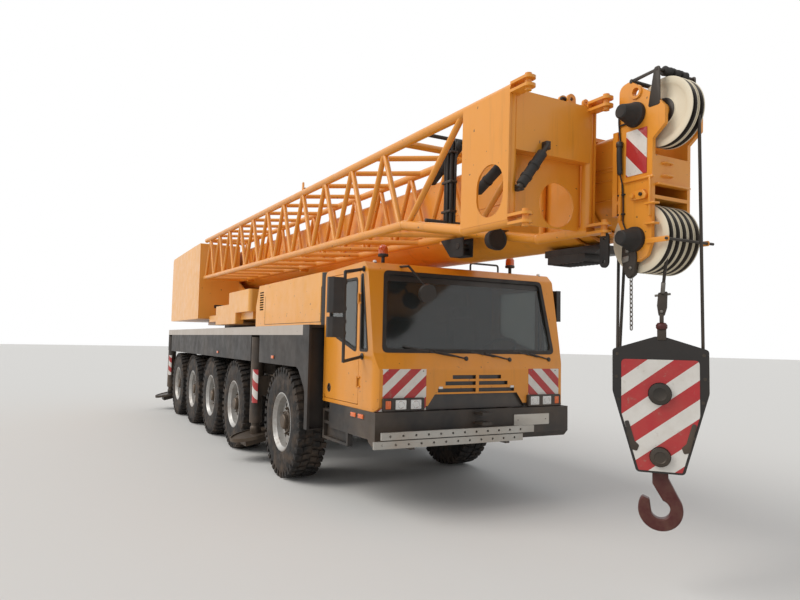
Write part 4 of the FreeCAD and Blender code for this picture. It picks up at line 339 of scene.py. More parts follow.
def tyre_rubber():
    """Worn rubber with dried mud."""
    m = Mat("tyre_rubber", Specular_IOR_Level=0.35)
    tone = m.mix(m.noise(9, 5, 0.6), srgb(30, 28, 27), srgb(48, 45, 43))
    mud = m.ramp(m.noise(4.5, 6, 0.65), 0.46, 0.72, 0.0, 0.55)
    m.base(m.mix(mud, tone, srgb(112, 92, 74)))
    m.rough(m.ramp(m.noise(14, 4), 0.3, 0.7, 0.68, 0.95))
    m.bump(m.noise(160, 3), 0.25, 0.001)
    return m.m


def rim_paint():
    """Silver paint with mud and rust spots."""
    m = Mat("rim_silver", Metallic=0.45)
    tone = m.mix(m.noise(7, 5, 0.6), srgb(158, 156, 152), srgb(196, 194, 190))
    mud = m.ramp(m.noise(5, 6, 0.65), 0.44, 0.74, 0.0, 0.6)
    rust = m.ramp(m.noise(17, 4, 0.6), 0.62, 0.76, 0.0, 0.6)
    m.base(m.mix(rust, m.mix(mud, tone, srgb(120, 98, 78)), srgb(96, 58, 36)))
    m.rough(m.ramp(m.noise(10, 4), 0.3, 0.7, 0.36, 0.62))
    m.bump(m.noise(80, 3), 0.15, 0.001)
    return m.m


tyre_black = tyre_rubber()
rim_silver = rim_paint()


def striped(name, weights, pitch, shift, dust=0.18):
    """Red and white slanting stripes; the weights of x, y and z give the way across them."""
    m = Mat(name, Coat_Weight=0.2)
    along = None
    for k, weight in enumerate(weights):
        if weight:
            term = m.math("MULTIPLY", m.axis(k), weight)
            along = term if along is None else m.math("ADD", along, term)
    wave = m.math("FRACT", m.math("ADD", m.math("DIVIDE", along, pitch), shift))
    red = m.math("GREATER_THAN", wave, 0.5)
    white_tone = m.mix(m.noise(14, 4), srgb(214, 208, 198), srgb(232, 228, 222))
    red_tone = m.mix(m.noise(14, 4), srgb(168, 24, 32), srgb(190, 40, 44))
    out = m.mix(red, white_tone, red_tone)
    worn = m.ramp(m.noise(19, 5, 0.7), 0.6, 0.78, 0.0, 0.7)
    out = m.mix(worn, out, srgb(150, 132, 116))
    m.base(dusty(m, out, dust, 2.4, 5))
    m.rough(m.ramp(m.noise(30, 3), 0.3, 0.7, 0.35, 0.55))
    m.bump(m.noise(200, 2), 0.1, 0.0006)
    return m.m


def masked(name, inside, outer, inner, coat=0.0, dust=0.16, top=2.4, rough=0.36):
    """Two colours in one material; inside is a function that gives the mask from the helper."""
    m = Mat(name, Coat_Weight=coat, Coat_Roughness=0.15)
    mask = inside(m)
    a = worn(m, m.mix(m.noise(1.1, 4), shade(outer, 0.94), shade(outer, 1.05)))
    b = m.mix(m.noise(4, 4), shade(inner, 0.85), shade(inner, 1.15))
    m.base(dusty(m, m.mix(mask, a, b), dust, top))
    m.rough(m.ramp(m.noise(5.5, 4), 0.3, 0.75, rough - 0.05, rough + 0.16))
    m.bump(m.noise(120, 3), 0.1, 0.001)
    return m.m


def cab_cavity(m):
    """The cab's inner faces, and the walls and back of the grille's slots, darkened as painted shade."""
    x, y, z = m.axis(0), m.math("ABSOLUTE", m.axis(1)), m.axis(2)
    rise = m.math("MAXIMUM", m.math("SUBTRACT", z, SCREEN_LOW_Z), 0.0)
    front = m.math("ADD", x, m.math("MULTIPLY", rise, 0.1786))
    room = m.all_of((y, "<", 1.1425), (x, ">", 2.9575), (front, "<", 4.137), (z, "<", 2.4725))
    # painted shade: the grille's slot walls and back take the dark inner colour
    grille = m.all_of((x, ">", 4.17), (x, "<", 4.2435), (z, "<", 1.425), (y, "<", 0.66))
    return m.math("MAXIMUM", room, grille)


def hood_cavity(m):
    """The hood's inner faces."""
    x, y, z = m.axis(0), m.math("ABSOLUTE", m.axis(1)), m.axis(2)
    return m.all_of((y, "<", 1.1955), (z, "<", 2.5055), (x, ">", 0.0975), (x, "<", 2.8805))


def crane_cab_cavity(m):
    """The crane cab's inner faces, up to its leaning front."""
    x, y, z = m.axis(0), m.axis(1), m.axis(2)
    lean = m.math("MULTIPLY", m.math("MAXIMUM", m.math("SUBTRACT", z, 2.65), 0.0), 0.2048)
    front = m.math("ADD", x, lean)
    return m.all_of(
        (y, ">", 0.5435), (y, "<", 1.2515), (x, ">", -2.3415), (front, "<", -0.869), (z, "<", 3.4415))


def deck_edge(m):
    """The black skirts under the grey deck strip, and the black column behind the cab."""
    return m.math("MAXIMUM", m.all_of((m.axis(2), "<", 1.7705)), m.all_of((m.axis(0), ">", 2.68)))


# inner colour: the cab's inner faces, and painted shade in the grille's slots
cab_paint = masked("cab_paint", cab_cavity, YELLOW, srgb(44, 41, 40), coat=0.25)
hood_paint = masked("hood_paint", hood_cavity, srgb(234, 160, 54), srgb(40, 36, 34), coat=0.25, dust=0.1)
crane_cab_paint = masked("crane_cab_paint", crane_cab_cavity, YELLOW, srgb(60, 58, 56), coat=0.2)
side_paint = masked(
    "side_paint", deck_edge, srgb(184, 174, 164), srgb(31, 27, 25), rough=0.5, dust=0.07, top=2.6)

body_materials = {
    "chassis_frame": black_frame, "axle_beams": black_frame, "side_bodies": side_paint,
    "front_bumper": plastic, "ladder": alu, "cab_shell": cab_paint, "cab_glass": screen_glass,
    "cab_interior": cab_inside, "seats": cab_inside, "mirrors": plastic, "lamps": plastic,
    "engine_hood": hood_paint, "engine_block": dark_steel, "door_right": yellow, "door_left": yellow,
    "door_glass_right": side_glass, "door_glass_left": side_glass, "turntable": pale_yellow,
    "counterweight": pale_yellow, "winches": dark_steel, "crane_cab": crane_cab_paint,
    "crane_cab_glass": screen_glass, "crane_cab_door": yellow, "boom_base": under_paint,
    "jib": under_paint, "boom_head": under_paint, "head_sheaves": cream,
    "boom_section_1": under_paint, "boom_section_2": under_paint, "lift_barrel": under_paint,
    "lift_rod": chrome, "hoist_ropes": dark_steel, "hook_block": block_black, "hook": hook_red,
}
for end in ("front", "rear"):
    for side in ("right", "left"):
        body_materials["outrigger_beam_%s_%s" % (end, side)] = black_frame
        body_materials["outrigger_jack_%s_%s" % (end, side)] = dark_steel
for n in range(1, 6):
    for side in ("right", "left"):
        body_materials["wheel_%d_%s" % (n, side)] = tyre_black
        if n != 3:
            body_materials["knuckle_%d_%s" % (n, side)] = black_frame


def assign(node, material):
    """One material for the whole of a CAD node."""
    me = nodes[node].data
    if not me.materials:
        me.materials.append(material)
    for place in nodes[node].material_slots:
        place.material = material


for node, material in body_materials.items():
    assign(node, material)


# Mesh helpers

def arc(cx, cy, r, a0, a1, n):
    """Points of an arc from angle a0 to a1, in n steps."""
    step = (a1 - a0) / n
    return [(cx + r * math.cos(rad(a0 + k * step)), cy + r * math.sin(rad(a0 + k * step)))
            for k in range(n + 1)]


def eased(a, p, b, cut, steps):
    """Points of the curve that takes the corner p off between a and b, given as ways from p."""
    start, end = p + a.normalized() * cut, p + b.normalized() * cut
    shares = [j / steps for j in range(steps + 1)]
    return [start * (1 - s) ** 2 + p * 2 * s * (1 - s) + end * s ** 2 for s in shares]


def rounded(points, radii, n=4):
    """Closed outline with its corners rounded."""
    if not isinstance(radii, (list, tuple)):
        radii = [radii] * len(points)
    out = []
    for k, r in enumerate(radii):
        p = Vector(points[k])
        a = Vector(points[k - 1]) - p
        b = Vector(points[(k + 1) % len(points)]) - p
        cut = min(r / math.tan(a.angle(b) / 2), 0.49 * a.length, 0.49 * b.length)
        out += [tuple(q) for q in eased(a, p, b, cut, n)]
    return out


def rect(x0, y0, x1, y1):
    """Rectangle between two corners."""
    return [(x0, y0), (x1, y0), (x1, y1), (x0, y1)]


def rrect(x0, y0, x1, y1, r, n=4):
    """Rectangle with rounded corners."""
    return rounded(rect(x0, y0, x1, y1), r, n)


def circle(cx, cy, r, n=24):
    """Circle of n points."""
    return arc(cx, cy, r, 0, 360 - 360 / n, n - 1)


def spread(point, axis, along):
    """A flat point put in space: axis names the direction that along runs in."""
    a, b = point
    return {"x": (along, a, b), "y": (a, along, b), "z": (a, b, along)}[axis]


def skin(n):
    """Faces of a form whose low loop of n points comes before its high one."""
    faces = [list(range(n)), list(range(n, 2 * n))]
    return faces + [(k, (k + 1) % n, n + (k + 1) % n, n + k) for k in range(n)]


class Piece:
    """One piece in mesh code. Forms are added one by one, each with its own material."""

    def __init__(self, name, body, slot, place=None):
        self.name = name
        self.body = body
        self.slot = slot
        self.place = place or Matrix()
        self.bm = bmesh.new()
        self.mats = []

    def index(self, mat):
        if mat not in self.mats:
            self.mats.append(mat)
        return self.mats.index(mat)

    def add(self, verts, faces, mat, bevel=0.0, segments=2, at=None):
        """Add one form from its points and faces, and bevel its sharp edges."""
        m = at or Matrix()
        new = [self.bm.verts.new(m @ Vector(v)) for v in verts]
        made = [self.bm.faces.new([new[i] for i in f]) for f in faces]
        k = self.index(mat)
        for f in made:
            f.material_index = k
        bmesh.ops.recalc_face_normals(self.bm, faces=made)
        if bevel:
            edges = {e for f in made for e in f.edges if e.calc_face_angle(0) > 0.5}
            if edges:
                bmesh.ops.bevel(
                    self.bm, geom=list(edges), offset=bevel, segments=segments, profile=0.5,
                    affect="EDGES", clamp_overlap=True, material=-1)
        return made

    def prism(self, points, axis, lo, hi, mat, bevel=0.0, at=None, segments=2):
        """Outline pushed along an axis, from lo to hi."""
        verts = [spread(p, axis, lo) for p in points] + [spread(p, axis, hi) for p in points]
        self.add(verts, skin(len(points)), mat, bevel, segments, at)

    def box(self, x, y, z, mat, bevel=0.0, at=None):
        """Block between its ends in x, y and z."""
        self.prism(rect(x[0], y[0], x[1], y[1]), "z", z[0], z[1], mat, bevel, at)

    def plate(self, outer, holes, axis, lo, hi, mat, at=None):
        """Plate with holes: its face is filled between the loops and then thickened."""
        m = at or Matrix()
        bm = bmesh.new()
        for loop in [outer] + list(holes):
            vs = [bm.verts.new(spread(p, axis, lo)) for p in loop]
            for a, b in zip(vs, vs[1:] + vs[:1]):
                bm.edges.new((a, b))
        bmesh.ops.triangle_fill(bm, use_beauty=True, use_dissolve=False, edges=bm.edges[:])
        faces = bm.faces[:]
        out = bmesh.ops.extrude_face_region(bm, geom=faces)
        moved = [g for g in out["geom"] if isinstance(g, bmesh.types.BMVert)]
        bmesh.ops.translate(bm, verts=moved, vec=Vector(spread((0, 0), axis, hi - lo)))
        bm.verts.index_update()
        verts = [m @ v.co for v in bm.verts]
        tris = [[v.index for v in f.verts] for f in bm.faces]
        bm.free()
        self.add(verts, tris, mat)

    def turn(self, profile, centre, axis, mat, sides=32, loop=False, at=None):
        """Form turned about an axis through a centre; profile rows are radius, place along it."""
        verts = []
        rings = []
        for r, s in profile:
            if r < 1e-6:
                rings.append([len(verts)])
                verts.append(spread((0, 0), axis, s))
                continue
            rings.append(list(range(len(verts), len(verts) + sides)))
            for k in range(sides):
                a = 2 * math.pi * k / sides
                verts.append(spread((r * math.cos(a), r * math.sin(a)), axis, s))
        faces = []
        pairs = list(zip(rings, rings[1:])) + ([(rings[-1], rings[0])] if loop else [])
        for p, q in pairs:
            for k in range(sides):
                j = (k + 1) % sides
                if len(p) == 1 and len(q) == 1:
                    continue
                if len(p) == 1:
                    faces.append((p[0], q[j], q[k]))
                elif len(q) == 1:
                    faces.append((p[k], p[j], q[0]))
                else:
                    faces.append((p[k], p[j], q[j], q[k]))
        c = Vector(centre)
        verts = [Vector(v) + c for v in verts]
        self.add(verts, faces, mat, at=at)

    def rod(self, a, b, r, mat, sides=16, bevel=0.0, r2=None):
        """Round bar from a to b with chamfered ends."""
        a, b = Vector(a), Vector(b)
        d = b - a
        q = d.to_track_quat("Z", "Y").to_matrix().to_4x4()
        q.translation = a
        e = min(bevel, d.length / 3)
        far = r if r2 is None else r2
        rows = [(0, 0), (r - e, 0), (r, e), (far, d.length - e), (far - e, d.length), (0, d.length)]
        if e == 0:
            rows = [(0, 0), (r, 0), (far, d.length), (0, d.length)]
        self.turn(rows, (0, 0, 0), "z", mat, sides, at=q)

    def tube(self, points, r, mat, sides=10, bend=0.0, closed=False):
        """Bent round bar along a line of points, its corners rounded by the bend."""
        pts = [Vector(p) for p in points]
        if bend:
            line = [pts[0]]
            for before, p, after in zip(pts, pts[1:], pts[2:]):
                a, b = before - p, after - p
                line += eased(a, p, b, min(bend, 0.45 * a.length, 0.45 * b.length), 5)
            pts = line + [pts[-1]]
        count = len(pts)
        verts = []
        side = None
        for k, p in enumerate(pts):
            if closed:
                t = (pts[(k + 1) % count] - pts[k - 1]).normalized()
            elif k == 0:
                t = (pts[1] - p).normalized()
            elif k == count - 1:
                t = (p - pts[k - 1]).normalized()
            else:
                t = ((pts[k + 1] - p).normalized() + (p - pts[k - 1]).normalized()).normalized()
            if side is None:
                side = t.orthogonal().normalized()
            side = (side - t * side.dot(t)).normalized()
            other = t.cross(side)
            for j in range(sides):
                a = 2 * math.pi * j / sides
                verts.append(p + (side * math.cos(a) + other * math.sin(a)) * r)
        faces = []
        for k in range(count if closed else count - 1):
            p, q = k * sides, ((k + 1) % count) * sides
            for j in range(sides):
                i = (j + 1) % sides
                faces.append((p + j, p + i, q + i, q + j))
        if not closed:
            faces += [list(range(sides)), list(range((count - 1) * sides, count * sides))]
        self.add(verts, faces, mat)

    def bolts(self, spots, axis, base, height, mat, r=0.009, sides=6):
        """Bolt heads on a face at the spots named."""
        for p in spots:
            self.prism(circle(p[0], p[1], r, sides), axis, base, base + height, mat, 0.0008, segments=1)

    def done(self, replaces=(), sharp=32):
        """The finished object, put in its place, on its body and in its slot."""
        me = bpy.data.meshes.new(self.name)
        self.bm.to_mesh(me)
        self.bm.free()
        me.transform(self.place)
        if self.place.determinant() < 0:
            me.flip_normals()
        for mat in self.mats:
            me.materials.append(mat)
        for p in me.polygons:
            p.use_smooth = True
        me.set_sharp_from_angle(angle=rad(sharp))
        o = bpy.data.objects.new(self.name, me)
        scene.collection.objects.link(o)
        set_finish(o, self.slot)
        if self.body:
            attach(o, self.body)
        if replaces:
            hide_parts(*replaces)
        return o


def copy_of(o, name, body, matrix, replaces=()):
    """The same mesh again, on another body."""
    c = bpy.data.objects.new(name, o.data)
    c.matrix_world = matrix
    scene.collection.objects.link(c)
    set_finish(c, o["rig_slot"])
    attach(c, body)
    if replaces:
        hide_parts(*replaces)
    return c


# Wheels

def tyre_mesh():
    """Tyre with a blocked tread and ribbed shoulders; outboard is -Y and the axle is at the origin."""
    p = Piece("tyre_form", None, "tyre_rubber")
    half = 0.1875
    rows = [
        (0.352, half - 0.03), (0.368, half - 0.012), (0.4, half - 0.004), (0.45, half),
        (0.52, half), (0.575, half - 0.006), (0.618, half - 0.016), (0.645, half - 0.028),
        (0.66, half - 0.05), (0.664, 0.06), (0.664, -0.06), (0.66, -half + 0.05),
        (0.645, -half + 0.028), (0.618, -half + 0.016), (0.575, -half + 0.006), (0.52, -half),
        (0.45, -half), (0.4, -half + 0.004), (0.368, -half + 0.012), (0.352, -half + 0.03),
        (0.335, -half + 0.045), (0.335, half - 0.045),
    ]
    p.turn(rows, (0, 0, 0), "y", tyre_black, 96, loop=True)
    pitch = 2 * math.pi / 40
    for k in range(40):
        base = k * pitch

        def block(pairs, low, high, taper=0.0):
            """Raised block from corner pairs of turn angle, across; low and high are radii."""
            verts = []
            for radius in (low, high):
                for t, y in pairs:
                    a = base + t * pitch
                    r = radius - (taper if radius == high and abs(y) > 0.15 else 0)
                    verts.append((r * math.cos(a), y, r * math.sin(a)))
            p.add(verts, skin(len(pairs)), tyre_black)

        for s, shift in ((-1, 0.0), (1, 0.5)):
            block([(shift + 0.06, s * 0.182), (shift + 0.68, s * 0.182), (shift + 0.8, s * 0.105),
                   (shift + 0.2, s * 0.105)], 0.64, 0.6845, 0.006)
            block([(shift + 0.26, s * 0.093), (shift + 0.86, s * 0.093), (shift + 1.0, s * 0.012),
                   (shift + 0.42, s * 0.012)], 0.655, 0.6845)
            # rib on the shoulder
            a0, a1 = base + (shift + 0.14) * pitch, base + (shift + 0.58) * pitch
            verts = []
            for y in (0.165, 0.1845):
                for r, a in ((0.6, a0), (0.6, a1), (0.65, a1), (0.65, a0)):
                    reach = y if r > 0.62 or y < 0.17 else y - 0.006
                    verts.append((r * math.cos(a), s * reach, r * math.sin(a)))
            p.add(verts, skin(4), tyre_black)
    return p


def rim_form(p):
    """Ten-hole steel rim with its valve, nuts and hub; outboard is -Y."""
    lip = 0.1875 - 0.03
    rows = [
        (0.352, -lip + 0.004), (0.366, -lip - 0.006), (0.366, -lip - 0.014), (0.352, -lip - 0.018),
        (0.34, -lip - 0.006), (0.33, -lip + 0.016), (0.316, -lip + 0.028), (0.312, -0.02),
        (0.306, 0.02), (0.312, 0.09), (0.33, lip - 0.01), (0.352, lip + 0.006), (0.357, lip - 0.004),
        (0.34, lip - 0.02), (0.33, 0.09), (0.33, -lip + 0.03),
    ]
    p.turn(rows, (0, 0, 0), "y", rim_silver, 72, loop=True)
    # dished disc with its hand holes: flat ring, hole ring, centre
    holes = [circle(0.236 * math.cos(rad(k * 36)), 0.236 * math.sin(rad(k * 36)), 0.031, 14)
             for k in range(10)]
    p.plate(circle(0, 0, 0.275, 60), holes + [circle(0, 0, 0.19, 40)], "y", -0.064, -0.05, rim_silver)
    p.turn([(0.315, -0.028), (0.275, -0.05), (0.275, -0.064), (0.315, -0.042)], (0, 0, 0), "y",
           rim_silver, 60, loop=True)
    p.turn([(0.0, -0.072), (0.182, -0.072), (0.192, -0.064), (0.192, -0.044), (0.0, -0.044)], (0, 0, 0),
           "y", rim_silver, 48)
    for k in range(10):
        a = rad(k * 36 + 18)
        x, z = 0.1625 * math.cos(a), 0.1625 * math.sin(a)
        p.prism(circle(x, z, 0.019, 6), "y", -0.098, -0.07, dark_steel, 0.002, segments=1)
        p.rod((x, -0.098, z), (x, -0.11, z), 0.01, dark_steel, 10, 0.002)
        p.turn([(0.024, -0.07), (0.024, -0.075), (0.0, -0.075)], (x, 0, z), "y", dark_steel, 14)
    hub = [
        (0.135, -0.07), (0.133, -0.105), (0.118, -0.112), (0.096, -0.114), (0.092, -0.15),
        (0.078, -0.162), (0.0, -0.164),
    ]
    p.turn(hub, (0, 0, 0), "y", dark_steel, 40)
    for k in range(8):
        a = rad(k * 45)
        p.prism(circle(0.107 * math.cos(a), 0.107 * math.sin(a), 0.008, 6), "y", -0.121, -0.11,
                dark_steel)
    p.rod((0.29, -0.05, 0.03), (0.272, -0.115, 0.03), 0.0055, steel, 8, 0.001)
    # inner side: drum and hub tube
    p.turn([(0.0, 0.1), (0.205, 0.1), (0.205, -0.02), (0.19, -0.044), (0.0, -0.044)], (0, 0, 0), "y",
           dark_steel, 40)
    return p


def wheels():
    """Ten wheels that share one tyre form and one rim form."""
    form = None
    for n, x in enumerate(AXLES, 1):
        for side, s in (("right", -1), ("left", 1)):
            body = "wheel_%d_%s" % (n, side)
            spin = rad(90 * (n % 4))
            m = Matrix.Translation((x, s * WHEEL_Y, TYRE_R))
            if s > 0:
                m = m @ Matrix.Rotation(math.pi, 4, "Z")
            m = m @ Matrix.Rotation(spin, 4, "Y")
            if form is None:
                p = tyre_mesh()
                p.name, p.body = "tyre_%d_%s" % (n, side), body
                rim_form(p)
                form = p.done([body])
                form.matrix_world = m
            else:
                copy_of(form, "tyre_%d_%s" % (n, side), body, m, [body])


wheels()


# Driver's cab

def local(origin, u, v):
    """Matrix of a plane from its origin and its two directions."""
    u, v = Vector(u).normalized(), Vector(v).normalized()
    m = Matrix((u, v, u.cross(v))).transposed().to_4x4()
    m.translation = Vector(origin)
    return m


def grown(points, d):
    """Outline of a convex polygon with each edge moved outwards by d."""
    area = sum(a[0] * b[1] - b[0] * a[1] for a, b in zip(points, points[1:] + points[:1]))
    s = 1 if area > 0 else -1
    lines = []
    for a, b in zip(points, points[1:] + points[:1]):
        t = (Vector(b) - Vector(a)).normalized()
        n = Vector((t.y, -t.x)) * s
        lines.append((Vector(a) + n * d, t))
    out = []
    for k in range(len(lines)):
        p, t = lines[k - 1]
        q, w = lines[k]
        cross = t.x * w.y - t.y * w.x
        r = q - p
        out.append(tuple(p + t * ((r.x * w.y - r.y * w.x) / cross)))
    return out


# the windscreen's plane: u runs to the left, v up the slope, w outwards
SCREEN_X = 4.185
SCREEN = local((SCREEN_X, 0, SCREEN_LOW_Z), (0, 1, 0), (SCREEN_LEAN[0], 0, SCREEN_LEAN[1]))
SLOPE = math.hypot(*SCREEN_LEAN) / SCREEN_LEAN[1]


def up_screen(z):
    """Place up the screen of a height."""
    return (z - SCREEN_LOW_Z) * SLOPE


def screen_trim():
    """Windscreen seal, the dark band at its top and three wipers."""
    opening = [(-1.085, up_screen(1.615)), (1.085, up_screen(1.615)), (1.01, up_screen(2.425)),
               (-1.01, up_screen(2.425))]
    p = Piece("screen_seal", "carrier", "trim_plastic", SCREEN)
    p.plate(rounded(grown(opening, 0.012), 0.06), [rounded(grown(opening, -0.03), 0.05)], "z",
            -0.024, 0.004, rubber)
    # black band printed along the top of the glass
    band = [(-1.0, up_screen(2.335)), (1.0, up_screen(2.335)), (0.985, up_screen(2.4)),
            (-0.985, up_screen(2.4))]
    p.prism(band, "z", -0.0205, -0.0185, plastic)
    p.done()
    w = Piece("wipers", "carrier", "trim_plastic", SCREEN)
    # pivot y, pivot z, tip y, tip z
    for py, pz, ty, tz in ((-0.12, 1.548, -0.86, 1.668), (0.447, 1.54, -0.17, 1.642),
                           (1.0, 1.545, 0.5, 1.64)):
        a = Vector((py, up_screen(pz), -0.03))
        b = Vector((ty, up_screen(tz), -0.006))
        w.rod(a, a + Vector((0, 0, 0.055)), 0.024, plastic, 14, 0.004)
        w.rod(a + Vector((0, 0, 0.05)), a + Vector((0, 0, 0.06)), 0.014, dark_steel, 6)
        mid = a.lerp(b, 0.52) + Vector((0, 0.012, 0.034))
        w.tube([a + Vector((0, 0, 0.038)), a.lerp(b, 0.25) + Vector((0, 0.006, 0.046)), mid], 0.0085,
               plastic, 8, 0.1)
        d = (b - a).normalized()
        start = a.lerp(b, 0.14)
        along = Vector((d.x, d.y, 0)).normalized()
        at = Matrix.Translation((start.x, start.y, 0)) @ Matrix.Rotation(
            math.atan2(along.y, along.x), 4, "Z")
        run = (b - start).length
        w.box((0, run), (-0.004, 0.004), (-0.019, -0.002), rubber, at=at)
        w.box((0.02, run - 0.02), (-0.007, 0.007), (-0.003, 0.006), plastic, 0.002, at=at)
        for s in (0.25, 0.5, 0.75):
            w.box((run * s - 0.018, run * s + 0.018), (-0.009, 0.009), (0.004, 0.014), plastic, 0.002,
                  at=at)
    w.done()


def around_corner(y0, y1, proud, steps=7):
    """Plan points of the cab's nose from y0 to y1, bent round its corner, standing proud."""
    flat, r = 1.085, 0.11
    s = -1 if y1 < 0 else 1
    pts = [(NOSE_X + proud, y0), (NOSE_X + proud, s * min(abs(y1), flat))]
    if abs(y1) > flat:
        end = math.degrees(math.asin(min((abs(y1) - flat) / r, 1)))
        for k in range(1, steps + 1):
            a = rad(end * k / steps)
            pts.append((NOSE_X - r + (r + proud) * math.cos(a), s * (flat + (r + proud) * math.sin(a))))
    return pts


def hazard_boards():
    """Striped boards bent round the cab's front corners, with their screws."""
    # side, inner edge, outer edge, inner screw, weight of z, shift of the stripes
    for name, s, y0, y1, screw, slant, shift in (
            ("right", -1, 0.625, 1.16, 0.66, -1.15, 0.56), ("left", 1, 0.68, 1.16, 0.72, 1.15, 0.2)):
        p = Piece("hazard_board_" + name, "carrier", "body_paint")
        out = around_corner(s * y0, s * y1, 0.0035)
        back = around_corner(s * y0, s * y1, -0.004)
        stripes = striped("hazard_" + name, (0, 1, slant), 0.245, shift)
        p.prism(out + back[::-1], "z", 1.036, 1.445, stripes, 0.001, segments=1)
        for y in (screw, 1.06):
            for z in (1.066, 1.425):
                p.turn([(0.0, 4.2485), (0.007, 4.2485), (0.006, 4.2515), (0.0, 4.252)],
                       (0, s * y, z), "x", steel, 12)
        p.done()


def beacon(p, y):
    """Amber beacon on its stalk on the cab's roof."""
    x = 3.85
    p.rod((x, y, 2.497), (x, y, 2.512), 0.055, plastic, 24, 0.004)
    p.tube([(x, y, 2.5), (x, y, 2.56), (x, y, 2.605)], 0.019, plastic, 14)
    p.turn([(0.0, 2.598), (0.05, 2.598), (0.055, 2.604), (0.055, 2.622), (0.05, 2.628), (0, 2.628)],
           (x, y, 0), "z", plastic, 32)
    dome = [(0.0, 2.627), (0.05, 2.627), (0.051, 2.64), (0.05, 2.672), (0.046, 2.696), (0.036, 2.713),
            (0.02, 2.722), (0.0, 2.7245)]
    p.turn(dome, (x, y, 0), "z", amber, 32)
    for z in (2.644, 2.658, 2.672, 2.686):
        p.turn([(0.047, z), (0.0525, z + 0.002), (0.047, z + 0.004)], (x, y, 0), "z", amber, 32, loop=True)


def lamps():
    """Head lamps, grille lamps, bumper side lamps, rear clusters and beacons."""
    # inner edge, outer edge, low, high, corner, lens, fields between its ribs
    lenses = ((0.69, 0.815, 1.052, 1.148, 0.01, white_lens, 5),
              (0.86, 0.985, 1.052, 1.148, 0.01, white_lens, 5),
              (1.03, 1.095, 1.058, 1.142, 0.008, orange_lens, 3))
    p = Piece("lamps_dressed", "carrier", "lamp_plastic")
    for s in (-1, 1):
        p.prism(rrect(s * 0.655, 1.037, s * 1.118, 1.163, 0.014), "x", 4.215, 4.272, plastic, 0.004)
        p.plate(rrect(s * 0.659, 1.041, s * 1.114, 1.159, 0.012),
                [rrect(s * a, z0, s * b, z1, r) for a, b, z0, z1, r, lens, fields in lenses],
                "x", 4.27, 4.278, plastic)
        for a, b, z0, z1, r, lens, fields in lenses:
            p.prism(rrect(s * (a + 0.002), z0 + 0.002, s * (b - 0.002), z1 - 0.002, 0.009), "x", 4.262,
                    4.2755, lens, 0.003)
            for k in range(1, fields):
                y = s * (a + (b - a) * k / fields)
                p.prism(rect(y - 0.0012, z0 + 0.008, y + 0.0012, z1 - 0.008), "x", 4.274, 4.2768, lens)
            if lens is white_lens:
                p.turn([(0.03, 4.2745), (0.034, 4.2772), (0.038, 4.2745)],
                       (0, s * (a + b) / 2, 1.1), "x", chrome, 28, loop=True)
        # small lamps at the ends of the lowest grille row
        p.prism(rrect(s * 0.43, 1.243, s * 0.475, 1.267, 0.006), "x", 4.24, 4.254, white_lens, 0.003)
        # side lamps on the bumper's wings
        for x0, x1 in ((3.735, 3.855), (3.915, 4.035)):
            p.prism(rrect(x0, 0.944, x1, 0.988, 0.01), "y", s * 1.205, s * 1.222, orange_lens, 0.004)
            p.prism(rrect(x0 - 0.008, 0.936, x1 + 0.008, 0.996, 0.012), "y", s * 1.2, s * 1.212,
                    plastic, 0.002)
        # rear lamp clusters
        p.prism(rrect(s * 0.9, 1.56, s * 1.34, 1.68, 0.02), "x", -6.9, -6.86, plastic, 0.004)
        for a, b, lens in ((0.915, 1.04, red_lens), (1.05, 1.185, white_lens), (1.195, 1.325, orange_lens)):
            p.prism(rrect(s * a, 1.572, s * b, 1.668, 0.012), "x", -6.9015, -6.892, lens, 0.004)
    for y in (-0.94, 0.72):
        beacon(p, y)
    p.done(["lamps"])


def roof_rail():
    """Rail and corner knobs on the roof."""
    r = Piece("roof_rail", "carrier", "trim_plastic")
    r.tube([(3.9, 0.13, 2.505), (3.9, 0.13, 2.605), (3.9, 0.51, 2.605), (3.9, 0.51, 2.505)], 0.011,
           plastic, 10, 0.03)
    for y in (0.13, 0.51):
        r.rod((3.9, y, 2.497), (3.9, y, 2.512), 0.028, plastic, 16, 0.003)
    for y in (-1.075, 1.075):
        r.rod((3.93, y, 2.485), (3.93, y, 2.545), 0.02, white_lens, 18, 0.008)
        r.rod((3.93, y, 2.485), (3.93, y, 2.52), 0.027, plastic, 18, 0.004)
    r.done()


